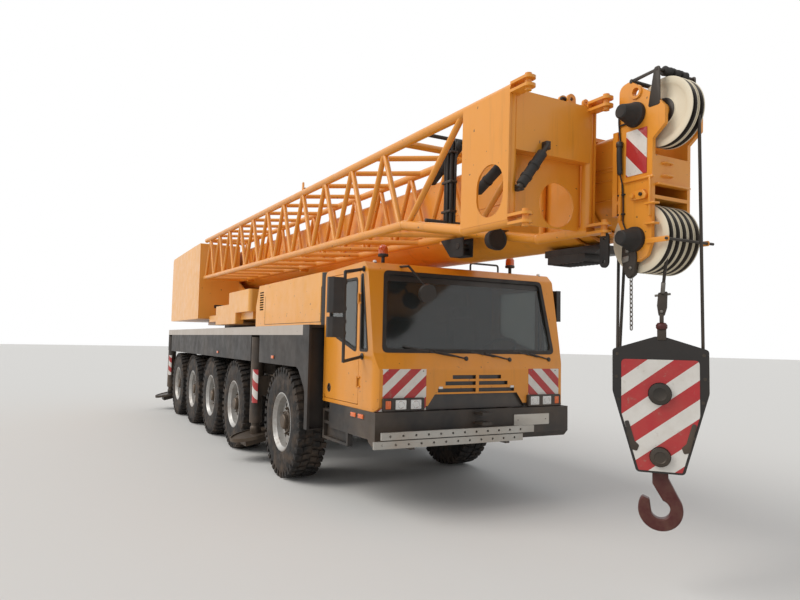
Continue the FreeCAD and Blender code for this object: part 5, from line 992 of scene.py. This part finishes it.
def side_trim():
    """Window seals and pull handles of the doors, and the seals of the panes beside and behind them."""
    door_pane = [(3.06, 1.83), (3.28, 1.75), (3.785, 1.61), (3.785, 2.36), (3.06, 2.36)]
    slope = -SCREEN_LEAN[0] / SCREEN_LEAN[1]
    front_low = SCREEN_X - 0.125
    quarter = [(3.885, 1.62), (front_low, 1.62), (front_low - slope * 0.77, 2.39), (3.885, 2.39)]
    for side, s in (("right", -1), ("left", 1)):
        p = Piece("door_trim_" + side, "door_" + side, "trim_plastic")
        y = (s * CAB_FACE_Y, s * 1.1985)
        p.plate(rounded(grown(door_pane, 0.014), [0.06, 0.09, 0.05, 0.05, 0.06]),
                [rounded(grown(door_pane, -0.014), [0.04, 0.06, 0.03, 0.03, 0.04])], "y", *y, rubber)
        # pull handle in its round cup
        p.turn([(0.046, s * 1.193), (0.05, s * 1.1965), (0.046, s * 1.199), (0.039, s * 1.197),
                (0.038, s * 1.18)], (3.085, 0, 1.19), "y", plastic, 32)
        p.box((3.05, 3.12), (s * CAB_FACE_Y, s * 1.19), (1.178, 1.2), dark_steel, 0.004)
        p.rod((3.085, s * 1.172, 1.163), (3.085, s * 1.184, 1.163), 0.009, steel, 12, 0.001)
        p.done()
        q = Piece("quarter_seal_" + side, "carrier", "trim_plastic")
        q.plate(rounded(grown(quarter, 0.012), 0.03), [rounded(grown(quarter, -0.014), 0.02)], "y", *y,
                rubber)
        q.done()
    p = Piece("rear_pane_seal", "carrier", "trim_plastic")
    p.plate(rrect(-0.765, 1.935, 0.765, 2.365, 0.04), [rrect(-0.735, 1.965, 0.735, 2.335, 0.03)], "x",
            2.901, 2.935, rubber)
    p.done()


def mirror_faces():
    """Mirror glass, and the clamps and feet of the mirrors' arms."""
    p = Piece("mirror_faces", "carrier", "window_glass")
    for z0, z1 in ((2.0, 2.32), (1.76, 1.93)):
        p.prism(rrect(-1.575, z0, -1.44, z1, 0.015), "x", 3.9415, 3.9455, mirror_face, 0.001)
    p.done()
    t = Piece("mirror_clamps", "carrier", "trim_plastic")
    for z in (2.03, 2.29, 1.79, 1.9):
        t.rod((4.0, -1.43, z - 0.018), (4.0, -1.43, z + 0.018), 0.024, plastic, 14, 0.003)
    # the lower arm's elbow and foot, and the upper arm's foot
    t.rod((3.94, -1.195, 1.56), (3.94, -1.207, 1.56), 0.034, plastic, 18, 0.003)
    t.rod((3.94, -1.195, 2.445), (3.94, -1.207, 2.445), 0.03, plastic, 18, 0.003)
    t.done()


def soft_block(p, lo, hi, mat, crown, at=None):
    """Crowned cushion: a subdivided box that swells in the middle of each side."""
    bm = bmesh.new()
    n = 10
    size = [hi[k] - lo[k] for k in range(3)]
    grid = {}

    def vert(i, j, k):
        key = (i, j, k)
        if key not in grid:
            u, v, w = (2 * i / n - 1, 2 * j / n - 1, 2 * k / n - 1)
            s = []
            for a, b, c in ((u, v, w), (v, u, w), (w, u, v)):
                swell = (1 - b ** 4) * (1 - c ** 4)
                pull = 0.036 * (abs(b) ** 6 + abs(c) ** 6)
                s.append(a * (1 - pull) + a ** 5 * crown * swell)
            grid[key] = bm.verts.new([
                (lo[m] + hi[m]) / 2 + s[m] * size[m] / 2 * 0.97 for m in range(3)])
        return grid[key]

    for a in range(n):
        for b in range(n):
            for face in (
                    [(a, b, 0), (a, b + 1, 0), (a + 1, b + 1, 0), (a + 1, b, 0)],
                    [(a, b, n), (a + 1, b, n), (a + 1, b + 1, n), (a, b + 1, n)],
                    [(a, 0, b), (a + 1, 0, b), (a + 1, 0, b + 1), (a, 0, b + 1)],
                    [(a, n, b), (a, n, b + 1), (a + 1, n, b + 1), (a + 1, n, b)],
                    [(0, a, b), (0, a, b + 1), (0, a + 1, b + 1), (0, a + 1, b)],
                    [(n, a, b), (n, a + 1, b), (n, a + 1, b + 1), (n, a, b + 1)]):
                bm.faces.new([vert(*f) for f in face])
    bmesh.ops.subdivide_edges(bm, edges=bm.edges[:], cuts=1, use_grid_fill=True, smooth=0.6)
    bm.verts.index_update()
    verts = [v.co.copy() for v in bm.verts]
    faces = [[v.index for v in f.verts] for f in bm.faces]
    bm.free()
    p.add(verts, faces, mat, at=at)


def fabric(name, a, b):
    """Woven cloth in two tones."""
    m = Mat(name, Sheen_Weight=0.4, Sheen_Roughness=0.5)
    weave = m.voronoi(420)
    pattern = m.ramp(m.noise(34, 3, 0.6), 0.45, 0.55, 0.0, 1.0)
    m.base(m.mix(pattern, a, b))
    m.rough(m.ramp(m.noise(12, 3), 0.3, 0.7, 0.85, 0.98))
    m.bump(weave, 0.4, 0.0008)
    return m.m


seat_cloth = fabric("seat_cloth", srgb(70, 70, 74), srgb(104, 104, 110))
seat_edge = fabric("seat_edge", srgb(48, 48, 50), srgb(58, 58, 60))


def padded_seat(name, body, x, y, z, replaces=()):
    """Cushion, back with its side rolls, and headrest, on the seat's base."""
    lean = Matrix.Translation((x - 0.185, y, z + 0.13)) @ Matrix.Rotation(rad(-5.5), 4, "Y")
    c = Piece(name + "_cushion", body, "seat_fabric")
    soft_block(c, (x - 0.22, y - 0.17, z + 0.012), (x + 0.245, y + 0.17, z + 0.145), seat_cloth, 0.1)
    for s in (-1, 1):
        soft_block(c, (x - 0.23, y + s * 0.205 - 0.045, z + 0.004),
                   (x + 0.24, y + s * 0.205 + 0.045, z + 0.152), seat_edge, 0.14)
        c.tube([(x - 0.21, y + s * 0.163, z + 0.14), (x, y + s * 0.164, z + 0.15),
                (x + 0.225, y + s * 0.163, z + 0.138)], 0.004, seat_edge, 8, 0.05)
    c.box((x - 0.23, x + 0.235), (y - 0.235, y + 0.235), (z, z + 0.018), plastic, 0.006)
    oc = c.done(replaces, 50)
    b = Piece(name + "_back", body, "seat_fabric")
    soft_block(b, (-0.05, -0.165, 0.012), (0.055, 0.165, 0.45), seat_cloth, 0.14, at=lean)
    for s in (-1, 1):
        soft_block(b, (-0.045, s * 0.195 - 0.042, 0.0), (0.068, s * 0.195 + 0.042, 0.44), seat_edge,
                   0.16, at=lean)
    soft_block(b, (-0.04, -0.12, 0.475), (0.05, 0.12, 0.61), seat_cloth, 0.2, at=lean)
    for s in (-1, 1):
        b.rod(lean @ Vector((0.005, s * 0.05, 0.43)), lean @ Vector((0.005, s * 0.05, 0.49)), 0.006,
              chrome, 8)
    b.prism(rrect(-0.19, 0.0, 0.19, 0.45, 0.06), "x", -0.062, -0.045, plastic, 0.006, at=lean)
    ob = b.done((), 50)


screen_trim()
hazard_boards()
lamps()
roof_rail()
side_trim()
mirror_faces()
padded_seat("seat_right", "carrier", 3.265, -0.6, 1.415, ["seats"])
padded_seat("seat_left", "carrier", 3.265, 0.6, 1.415)


# Boom head, sheaves and hook block

BLOCK_TURN = rad(40)
BLOCK = Matrix.Translation((6.70198, -0.17, 0)) @ Matrix.Rotation(BLOCK_TURN, 4, "Z")
stripes_head = striped("hazard_head", (1, 0, 0.95), 0.262, 0.1, dust=0.1)
stripes_block = striped(
    "hazard_block", (math.cos(BLOCK_TURN), math.sin(BLOCK_TURN), -1.32), 0.336, 0.66, dust=0.14)


def recolour(p, test, mat):
    """Give the faces whose centre passes the test another material."""
    k = p.index(mat)
    for f in p.bm.faces:
        if test(f.calc_center_median()):
            f.material_index = k


def sheaves():
    """Head sheaves with lightened discs and dark rope grooves."""
    p = Piece("head_sheaves_dressed", "boom_head", "sheave_plastic", DROOP)
    spots = [(TOP_X, -0.31 + 0.066 * n, 3.584, 0.24) for n in range(2)]
    spots += [(LOW_X, -0.337 + 0.066 * n, 2.722, 0.245) for n in range(5)]
    for x, y, z, r in spots:
        rows = [
            (0.0551, -0.03), (0.088, -0.03), (0.094, -0.027), (0.098, -0.02), (0.12, -0.016),
            (0.176, -0.018), (0.188, -0.024), (0.196, -0.028), (r - 0.012, -0.03), (r - 0.002, -0.028),
            (r, -0.025), (r - 0.004, -0.021), (r - 0.037, -0.013), (r - 0.041, -0.005),
        ]
        rows += [(a, -b) for a, b in rows[::-1]]
        p.turn(rows, (x, y, z), "y", cream, 72, loop=True)
        c = Vector((x, y, z))
        recolour(p, lambda m: (abs(m.y - c.y) < 0.0225
                               and 0.19 < math.hypot(m.x - c.x, m.z - c.z) < r + 0.001)
                 or (math.hypot(m.x - c.x, m.z - c.z) < 0.093 and abs(m.y - c.y) < 0.031), groove_dark)
    p.done(["head_sheaves"], 40)


def head_trim():
    """Guide cones, striped board, ribs and lips of the head's right plate, and the sheave guard."""
    p = Piece("head_cones", "boom_head", "trim_plastic", DROOP)
    for x, z in ((6.69, 3.6), (6.7, 2.712)):
        rows = [(0.0, -0.398), (0.088, -0.398), (0.09, -0.405), (0.086, -0.43), (0.079, -0.438),
                (0.074, -0.452), (0.056, -0.52), (0.05, -0.546), (0.042, -0.5515), (0.0, -0.5515)]
        p.turn(rows, (x, 0, z), "y", rubber, 36)
    p.done()
    p = Piece("head_boards", "boom_head", "body_paint", DROOP)
    p.prism(rrect(6.614, 3.168, 6.796, 3.492, 0.006), "y", HEAD_FACE_Y - 0.0075, HEAD_FACE_Y - 0.0005,
            stripes_head, 0.001)
    # ring round the lug hole and lips of the plates
    p.turn([(0.03, -0.398), (0.03, -0.412), (0.048, -0.412), (0.052, -0.398)], (6.697, 0, 3.762), "y",
           under_paint, 28, loop=True)
    p.box((6.6, 6.86), (-0.416, -0.395), (3.126, 3.142), under_paint, 0.003)
    for z in (3.24, 3.15):
        p.tube([(6.838, -0.3, z), (6.866, -0.29, z), (6.866, -0.22, z), (6.838, -0.21, z)], 0.008,
               under_paint, 8, 0.01)
    # ribs on the right plate and the small shelves at its front edge
    for x in (6.575, 6.832):
        p.box((x - 0.008, x + 0.008), (-0.42, -0.395), (2.86, 3.13), under_paint, 0.003)
    p.box((6.8, 6.885), (-0.43, -0.372), (2.94, 2.954), under_paint, 0.003)
    p.box((6.8, 6.885), (-0.43, -0.372), (2.8, 2.814), under_paint, 0.003)
    # flange at the panel's lower edge
    p.box((6.812, 6.872), (-0.369, -0.041), (3.078, 3.092), under_paint, 0.003)
    p.done()
    g = Piece("sheave_guard", "boom_head", "hook_steel", DROOP)
    g.rod((TOP_X, -0.405, 3.872), (TOP_X, -0.02, 3.872), 0.012, dark_steel, 12, 0.002)
    for y in (-0.3, -0.22, -0.14):
        rows = [(0.012, -0.034), (0.026, -0.034), (0.035, -0.028), (0.031, 0.0), (0.035, 0.028),
                (0.026, 0.034), (0.012, 0.034)]
        g.turn(rows, (TOP_X, y, 3.872), "y", rubber, 24, loop=True)
    for lo, hi in ((-0.403, -0.393), (-0.037, -0.027)):
        g.prism(rounded([(6.8, 3.62), (6.9, 3.62), (6.895, 3.89), (6.85, 3.89)], 0.018), "y", lo, hi,
                dark_steel, 0.002)
    # rod that keeps the ropes in the lower sheaves, with its arms
    g.rod((6.978, -0.425, 2.69), (6.978, 0.06, 2.69), 0.01, dark_steel, 12, 0.002)
    for y in (-0.412, -0.006):
        g.prism(rounded([(6.8, 2.672), (6.992, 2.672), (6.992, 2.708), (6.8, 2.708)], 0.012), "y",
                y, y + 0.008, under_paint, 0.001)
    g.done()


def block_trim():
    """Striped faces of the hook block, inside a black border, with its bolts and bosses."""
    face = rounded([(-0.14, 0.862), (0.14, 0.862), (0.252, 1.25), (0.252, 1.625), (-0.252, 1.625),
                    (-0.252, 1.25)], [0.01, 0.01, 0.04, 0.03, 0.03, 0.04])
    p = Piece("block_faces", "hook_block", "hook_steel", BLOCK)
    for s in (-1, 1):
        holes = [circle(0, 1.39, 0.078, 32), circle(0, 0.96, 0.07, 32)]
        p.plate(face, holes, "y", s * 0.1045, s * 0.1085, stripes_block)
    p.done([], 30)
    q = Piece("block_bosses", "hook_block", "hook_steel", BLOCK)
    for s in (-1, 1):
        for z, r in ((1.39, 0.072), (0.96, 0.064)):
            rows = [(0.0, s * 0.143), (r * 0.55, s * 0.143), (r * 0.62, s * 0.146), (r, s * 0.14),
                    (r + 0.002, s * 0.108), (0.0, s * 0.104)]
            q.turn(rows, (0, 0, z), "y", dark_steel, 32)
        q.bolts([(k * x, z) for x, z in ((0.28, 1.66), (0.285, 1.5), (0.272, 1.34), (0.21, 1.1))
                 for k in (-1, 1)], "y", s * 0.1035 - 0.004, 0.012, dark_steel, 0.013)
        # hand grips let into the lower edges of the faces
        for k in (-1, 1):
            grip = [(k * 0.232, 1.19), (k * 0.205, 1.2), (k * 0.165, 1.06), (k * 0.135, 1.03),
                    (k * 0.15, 0.99), (k * 0.188, 1.0)]
            q.prism(rounded(grip, 0.012), "y", s * 0.1035, s * 0.1115, dark_steel, 0.001)
    q.done()


sheaves()
head_trim()
block_trim()


# Fittings of the boom and the jib

def seam_lines():
    """Bend lines along the boom's sides, where its plates are folded, and its collars' edges."""
    rows = (("boom", 0.4, -4.6, 5.71), ("boom", 0.408, 5.725, 5.895),
            ("boom_section_1", 0.388, 5.93, 6.035), ("boom_section_2", 0.358, 6.07, 6.175),
            ("boom_head", 0.31, 6.19, 6.475))
    for n, (body, half, x0, x1) in enumerate(rows):
        p = Piece("fold_lines_%d" % n, body, "body_paint", DROOP)
        drop = math.sqrt((half - 0.005) ** 2 - 0.11 ** 2)
        for s in (-1, 1):
            for z, y in ((3.3, half), (3.275, half), (3.205, half), (3.06, drop + 0.005)):
                if n == 0 and z > 3.25:
                    continue
                p.rod((x0, s * y, z), (x1, s * y, z), 0.0055, under_paint, 8, 0.001)
        p.done([], 50)


def under_boxes():
    """Black boxes below the outer section's front end."""
    p = Piece("boom_front_boxes", "boom", "trim_plastic", DROOP)
    p.prism(rounded([(5.47, 2.7), (6.08, 2.7), (6.12, 2.722), (6.12, 2.762), (5.47, 2.762)], 0.006),
            "y", -0.15, 0.15, plastic, 0.003)
    p.prism(rounded([(5.52, 2.634), (5.93, 2.634), (5.97, 2.66), (5.97, 2.703), (5.52, 2.703)], 0.008),
            "y", -0.16, 0.1, plastic, 0.003)
    for x in (5.5, 5.62):
        p.box((x, x + 0.05), (-0.035, 0.035), (2.758, 2.779), plastic, 0.002)
    for k in range(9):
        x = 5.56 + k * 0.045
        p.box((x, x + 0.018), (-0.13, 0.07), (2.628, 2.637), rubber, 0.002)
    p.bolts([(5.54 + 0.14 * k, 2.731) for k in range(5)], "y", -0.1515, 0.004, dark_steel, 0.009)
    p.done()


def jib_fittings():
    """Black cylinders in the jib's foot, the lamp, bracket and strap below it and the top lugs."""
    p = Piece("jib_cylinders", "boom", "frame_paint", DROOP)
    # ends, radius; foot: out, in, radius, sides, bevel; rod: reach, radius, material, bevel; rings
    for a, b, r, foot, stem, spots, ring in (
            ((4.745, -0.9, 3.418), (5.235, -0.9, 3.672), 0.043, (0.018, 0.02, 0.03, 20, 0.004),
             (0.12, 0.017, chrome, 0.002), (0.3, 0.72), (0.012, 0.048)),
            ((5.493, -0.9, 3.202), (5.93, -0.9, 3.41), 0.043, (0.018, 0.02, 0.03, 20, 0.004),
             (0.12, 0.017, chrome, 0.002), (0.3, 0.72), (0.012, 0.048)),
            ((6.392, -1.172, 3.052), (6.392, -0.985, 3.305), 0.037, (0.03, 0.01, 0.024, 16, 0.003),
             (0.085, 0.018, dark_steel, 0.003), (0.25, 0.6), (0.014, 0.042))):
        a, b = Vector(a), Vector(b)
        d = (b - a).normalized()
        p.rod(a, b, r, rubber, 28, 0.006)
        p.rod(a - d * foot[0], a + d * foot[1], foot[2], dark_steel, foot[3], foot[4])
        p.rod(b - d * 0.02, b + d * stem[0], stem[1], stem[2], 16, stem[3])
        for t in spots:
            c = a.lerp(b, t)
            p.rod(c - d * ring[0], c + d * ring[0], ring[1], rubber, 28, 0.003)
    # the last one's two brackets, on the panel and on the post
    tip = b + d * 0.075
    p.box((6.35, 6.405), (tip.y - 0.02, tip.y + 0.02), (tip.z - 0.03, tip.z + 0.03), dark_steel, 0.004)
    p.box((6.335, 6.405), (-1.19, -1.15), (3.015, 3.06), dark_steel, 0.004)
    p.done([], 50)
    h = Piece("jib_hoses", "boom", "trim_plastic", DROOP)
    h.box((5.07, 5.205), (-0.945, -0.925), (2.955, 3.705), plastic, 0.004)
    for k, y in enumerate((-0.965, -0.972, -0.962)):
        x = 5.095 + 0.042 * k
        h.tube([(x, y, 2.97), (x + 0.01, y - 0.006, 3.2), (x - 0.008, y, 3.45), (x, y + 0.004, 3.69)], 0.016,
               rubber, 12, 0.05)
    for z in (3.06, 3.32, 3.58):
        h.box((5.064, 5.211), (-0.992, -0.92), (z, z + 0.022), dark_steel, 0.003)
    for z in (2.975, 3.715):
        h.rod((5.137, -1.19, z), (5.137, -0.5, z), 0.017, dark_steel, 12, 0.002)
    h.done([], 50)
    w = Piece("jib_bracket", "boom", "frame_paint", DROOP)
    face = rounded([(4.375, 2.934), (4.78, 2.93), (4.78, 2.745), (4.56, 2.752)], 0.012)
    w.plate(face, [circle(4.69, 2.85, 0.03, 20)], "y", -0.56, -0.548, rubber)
    w.plate(face, [circle(4.69, 2.85, 0.03, 20)], "y", -0.452, -0.44, rubber)
    w.prism(rounded([(4.56, 2.752), (4.78, 2.745), (4.78, 2.76), (4.565, 2.767)], 0.004), "y",
            -0.548, -0.452, rubber, 0.002)
    w.rod((4.69, -0.566, 2.85), (4.69, -0.434, 2.85), 0.029, dark_steel, 20, 0.003)
    w.done()
    c = Piece("jib_lamp", "boom", "trim_plastic", DROOP)
    c.turn([(0.0, 5.29), (0.045, 5.292), (0.08, 5.32), (0.094, 5.372), (0.098, 5.405), (0.09, 5.41),
            (0.082, 5.398), (0.0, 5.392)], (0, -0.62, 2.835), "x", rubber, 36)
    c.box((5.325, 5.365), (-0.64, -0.47), (2.905, 2.93), dark_steel, 0.003)
    c.done([], 40)
    t = Piece("jib_strap", "boom", "frame_paint", DROOP)
    strap = arc(6.498, 2.562, 0.042, 180, 360, 10) + arc(6.498, 2.735, 0.042, 0, 180, 10)
    t.plate(strap, [circle(6.498, 2.566, 0.015, 16), circle(6.498, 2.735, 0.012, 16)], "y", -0.488, -0.474,
            rubber)
    t.rod((6.49, -0.48, 2.735), (6.49, -0.48, 2.77), 0.01, dark_steel, 12, 0.001)
    t.done()
    b = Piece("jib_top_lugs", "boom", "body_paint", DROOP)
    for x, y, top, half in ((5.845, -0.7, 3.872, 0.03), (6.03, -0.7, 3.842, 0.034),
                            (6.23, -0.66, 3.828, 0.05), (6.272, -0.62, 3.835, 0.045),
                            (6.318, -0.52, 3.8, 0.03)):
        lug = [(y - half, 3.7), (y + half, 3.7)] + arc(y, top - half * 0.9, half * 0.9, 0, 180, 10)
        b.plate(lug, [circle(y, top - half * 0.9, half * 0.34, 14)], "x", x - 0.01, x + 0.01, under_paint)
    for x in (5.845, 6.03, 6.25):
        b.rod((x, -1.165, 3.716), (x, -0.52, 3.716), 0.016, under_paint, 12, 0.002)
    b.rod((6.225, -0.66, 3.79), (6.285, -0.62, 3.79), 0.01, dark_steel, 12, 0.001)
    b.tube([(6.262, -0.645, 3.79), (6.262, -0.7, 3.8), (6.262, -0.735, 3.725)], 0.009, rubber, 10, 0.02)
    # rope guide on the right top chord
    guide = [(2.02, 3.775), (2.08, 3.775)] + arc(2.05, 3.858, 0.022, 0, 180, 8)
    b.plate(guide, [circle(2.05, 3.857, 0.008, 12)], "y", -1.212, -1.198, under_paint)
    b.rod((2.05, -1.2, 3.8), (2.05, -1.12, 3.8), 0.012, rubber, 12, 0.002)
    b.done([], 40)


def head_fittings():
    """Cable with its plug, latch and ledges on the right head plate, and the guard's strap."""
    p = Piece("head_cable", "boom_head", "trim_plastic", DROOP)
    y = HEAD_FACE_Y - 0.0105
    p.tube([(6.556, y, 3.69), (6.548, y - 0.004, 3.6), (6.556, y, 3.48), (6.566, y, 3.4)], 0.006,
           rubber, 8, 0.04)
    p.tube([(6.566, -0.42, 3.4), (6.568, -0.424, 3.33), (6.572, -0.42, 3.2)], 0.019, rubber, 14, 0.03)
    p.rod((6.566, -0.42, 3.392), (6.566, -0.42, 3.432), 0.024, dark_steel, 16, 0.004)
    p.rod((6.571, -0.421, 3.235), (6.572, -0.42, 3.19), 0.014, plastic, 14, 0.003)
    p.tube([(6.572, -0.418, 3.195), (6.59, y, 3.11), (6.598, y, 2.96), (6.596, y, 2.84),
            (6.622, y, 2.79)], 0.005, rubber, 8, 0.05)
    for z in (3.55, 3.04, 2.9):
        p.box((6.545, 6.61), (-0.415, -0.399), (z, z + 0.01), rubber, 0.002)
    p.done([], 50)
    q = Piece("head_latch", "boom_head", "body_paint", DROOP)
    q.prism(rounded([(6.675, 2.985), (6.8, 2.985), (6.815, 3.01), (6.79, 3.05), (6.69, 3.046)], 0.01),
            "y", -0.428, -0.398, under_paint, 0.004)
    q.rod((6.7, -0.446, 3.015), (6.7, -0.425, 3.015), 0.018, under_paint, 18, 0.003)
    q.rod((6.77, -0.442, 3.018), (6.77, -0.425, 3.018), 0.013, dark_steel, 14, 0.003)
    # strap from the plates' top to the rollers over the upper sheaves
    for lo, hi in ((-0.399, -0.389), (-0.021, -0.011)):
        q.prism(rounded([(6.645, 3.842), (6.88, 3.862), (6.885, 3.882), (6.645, 3.868)], 0.006), "y", lo, hi,
                dark_steel, 0.002)
    q.rod((6.648, -0.405, 3.856), (6.648, -0.005, 3.856), 0.016, dark_steel, 16, 0.003)
    q.done([], 45)


def chain(p, a, b, mat, pitch=0.03, r=0.0042, wide=0.0095):
    """Chain of short links from a to b, each turned a quarter against the last."""
    a, b = Vector(a), Vector(b)
    count = max(int((b - a).length / pitch), 1)
    d = (b - a) / count
    q = d.to_track_quat("Z", "Y").to_matrix().to_4x4()
    for k in range(count):
        q.translation = a + d * (k + 0.5)
        m = q @ Matrix.Rotation(rad(90 * (k % 2)), 4, "Z")
        long = d.length * 0.5 + r * 0.9 - wide
        ring = [(wide, long)] + [(u, v + long) for u, v in arc(0, 0, wide, 45, 135, 2)] + [(-wide, long)]
        ring += [(-wide, -long)] + [(u, v - long) for u, v in arc(0, 0, wide, 225, 315, 2)] + [(wide, -long)]
        p.tube([m @ Vector((u, 0, v)) for u, v in ring], r, mat, 6, 0.0, closed=True)


def rope_ends():
    """Weight chain and socket on the head's right side, and the rope end on the block's peak."""
    p = Piece("limit_socket", "falls", "hook_steel")
    p.prism(rounded([(6.585, 2.425), (6.7, 2.425), (6.712, 2.33), (6.69, 2.215), (6.64, 2.185),
                     (6.6, 2.24), (6.58, 2.33)], 0.018), "y", -0.418, -0.374, dark_steel, 0.008)
    p.rod((6.64, -0.43, 2.385), (6.64, -0.362, 2.385), 0.016, steel, 16, 0.003)
    p.rod((6.668, -0.428, 2.262), (6.668, -0.364, 2.262), 0.012, steel, 14, 0.003)
    p.prism(rounded([(6.59, 2.3), (6.65, 2.31), (6.655, 2.352), (6.596, 2.345)], 0.008), "y", -0.424, -0.368,
            steel, 0.003)
    chain(p, (6.645, -0.396, 2.46), (6.642, -0.396, 2.4), steel)
    chain(p, (6.652, -0.396, 2.2), (6.652, -0.396, 1.83), steel)
    p.done([], 50)
    r = Piece("end_rope", "falls", "rope_steel")
    top = Vector((6.918, -0.333, 2.44))
    low = Vector((6.812, -0.262, 2.135))
    steps = 26
    line = [top.lerp(low, k / steps) for k in range(steps + 1)]
    r.tube(line, 0.0105, dark_steel, 10)
    axis = (low - top).normalized()
    side = axis.orthogonal().normalized()
    for s in range(6):
        strand = []
        for k in range(61):
            turn = Matrix.Rotation(rad(60 * s + 30 * k), 4, axis)
            strand.append(top.lerp(low, k / 60) + (turn @ side) * 0.0085)
        r.tube(strand, 0.0034, dark_steel, 5)
    r.done([], 60)
    q = Piece("rope_socket", "hook_block", "hook_steel")
    m = Matrix.Translation((6.775, -0.235, 0)) @ Matrix.Rotation(rad(40), 4, "Z")
    q.rod((6.818, -0.266, 2.16), (6.8, -0.254, 2.085), 0.015, steel, 14, 0.003)
    q.prism(rounded([(-0.022, 2.09), (0.04, 2.1), (0.036, 1.985), (0.02, 1.93), (-0.02, 1.93),
                     (-0.03, 2.0)], 0.01), "y", -0.022, 0.022, dark_steel, 0.006, at=m)
    q.rod(m @ Vector((-0.045, 0, 2.07)), m @ Vector((0.06, 0, 2.082)), 0.008, steel, 12, 0.002)
    q.box((-0.014, 0.014), (-0.03, 0.03), (1.88, 1.945), dark_steel, 0.005, at=m)
    q.rod(m @ Vector((0, -0.036, 1.958)), m @ Vector((0, 0.036, 1.958)), 0.011, steel, 14, 0.002)
    q.turn([(0.03, 1.835), (0.038, 1.845), (0.038, 1.865), (0.028, 1.88), (0.0, 1.886)], (6.775, -0.235, 0), "z",
           hook_red, 24)
    q.prism(rounded([(-0.03, 1.76), (0.03, 1.76), (0.03, 1.845), (-0.03, 1.845)], 0.008), "y", -0.014, 0.014,
            dark_steel, 0.004, at=m)
    q.done([], 50)


seam_lines()
under_boxes()
jib_fittings()
head_fittings()
rope_ends()


def jack_bands():
    """Red and white bands on the outer side of the four jack tubes."""
    bands = striped("hazard_jack", (0.9, 0, 1), 0.23, 0.15)
    for end, x in JACK_X:
        for side, s in (("right", -1), ("left", 1)):
            p = Piece("jack_band_%s_%s" % (end, side), "outrigger_beam_%s_%s" % (end, side), "body_paint")
            a0, a1 = (205, 335) if s < 0 else (25, 155)
            ring = arc(x, s * JACK_Y, 0.093, a0, a1, 16) + arc(x, s * JACK_Y, 0.0895, a1, a0, 16)
            p.prism(ring, "z", 0.81, 1.28, bands)
            p.done([], 50)


def carrier_fittings():
    """Side markers, the blank number plate and the hood's panel seams."""
    p = Piece("side_markers", "carrier", "lamp_plastic")
    for s in (-1, 1):
        for x, z in ((1.572, 1.481), (-1.562, 1.474)):
            p.prism(rrect(x - 0.06, z - 0.026, x + 0.06, z + 0.026, 0.01), "y", s * (SKIRT_FACE_Y - 0.005),
                    s * (SKIRT_FACE_Y + 0.006),
                    plastic, 0.002)
            p.prism(rrect(x - 0.05, z - 0.019, x + 0.05, z + 0.019, 0.008), "y", s * (SKIRT_FACE_Y + 0.003),
                    s * (SKIRT_FACE_Y + 0.014),
                    orange_lens, 0.003)
    p.done()
    n = Piece("number_plate", "carrier", "lamp_plastic")
    n.prism(rrect(0.44, 0.834, 0.94, 0.966, 0.012), "x", BUMPER_FACE_X - 0.006,
            BUMPER_FACE_X + 0.004, plastic, 0.002)
    n.prism(rrect(0.448, 0.842, 0.932, 0.958, 0.008), "x", BUMPER_FACE_X,
            BUMPER_FACE_X + 0.0065, plate_white, 0.001)
    n.bolts([(0.5, 0.9), (0.88, 0.9)], "x", BUMPER_FACE_X + 0.0065, 0.003, steel, 0.007)
    n.done()
    h = Piece("hood_seams", "carrier", "body_paint")
    for s in (-1, 1):
        face = (s * (HOOD_FACE_Y - 0.002), s * (HOOD_FACE_Y + 0.0012))
        for x in (0.56, 2.78):
            h.box((x, x + 0.006), face, (1.93, 2.34), rubber)
        h.box((0.56, 2.786), face, (1.924, 1.93), rubber)
    h.done()


def weight_fittings():
    """The slot in the counterweight's front wall, filled by a black sheet as painted shade, and the box at its
    rear corner.
    """
    p = Piece("weight_fittings", "superstructure", "body_paint")
    back, front = WEIGHT_X
    slot = rrect(-0.985, 2.33, -0.673, 2.4, 0.02)
    # painted shade: a flat black sheet stands for the dark inside of the slot
    p.prism(slot, "x", front - 0.004, front + 0.003, rubber, 0.001)
    p.plate(rrect(-1.005, 2.31, -0.653, 2.42, 0.03), [slot], "x", front - 0.004, front + 0.009, pale_yellow)
    p.box((back - 0.062, back + 0.005), (-1.285, -0.98), (2.96, 3.44), pale_yellow, 0.012)
    p.box((back - 0.056, back + 0.005), (-1.265, -1.0), (2.74, 2.962), dark_steel, 0.008)
    p.done()


jack_bands()
carrier_fittings()
weight_fittings()
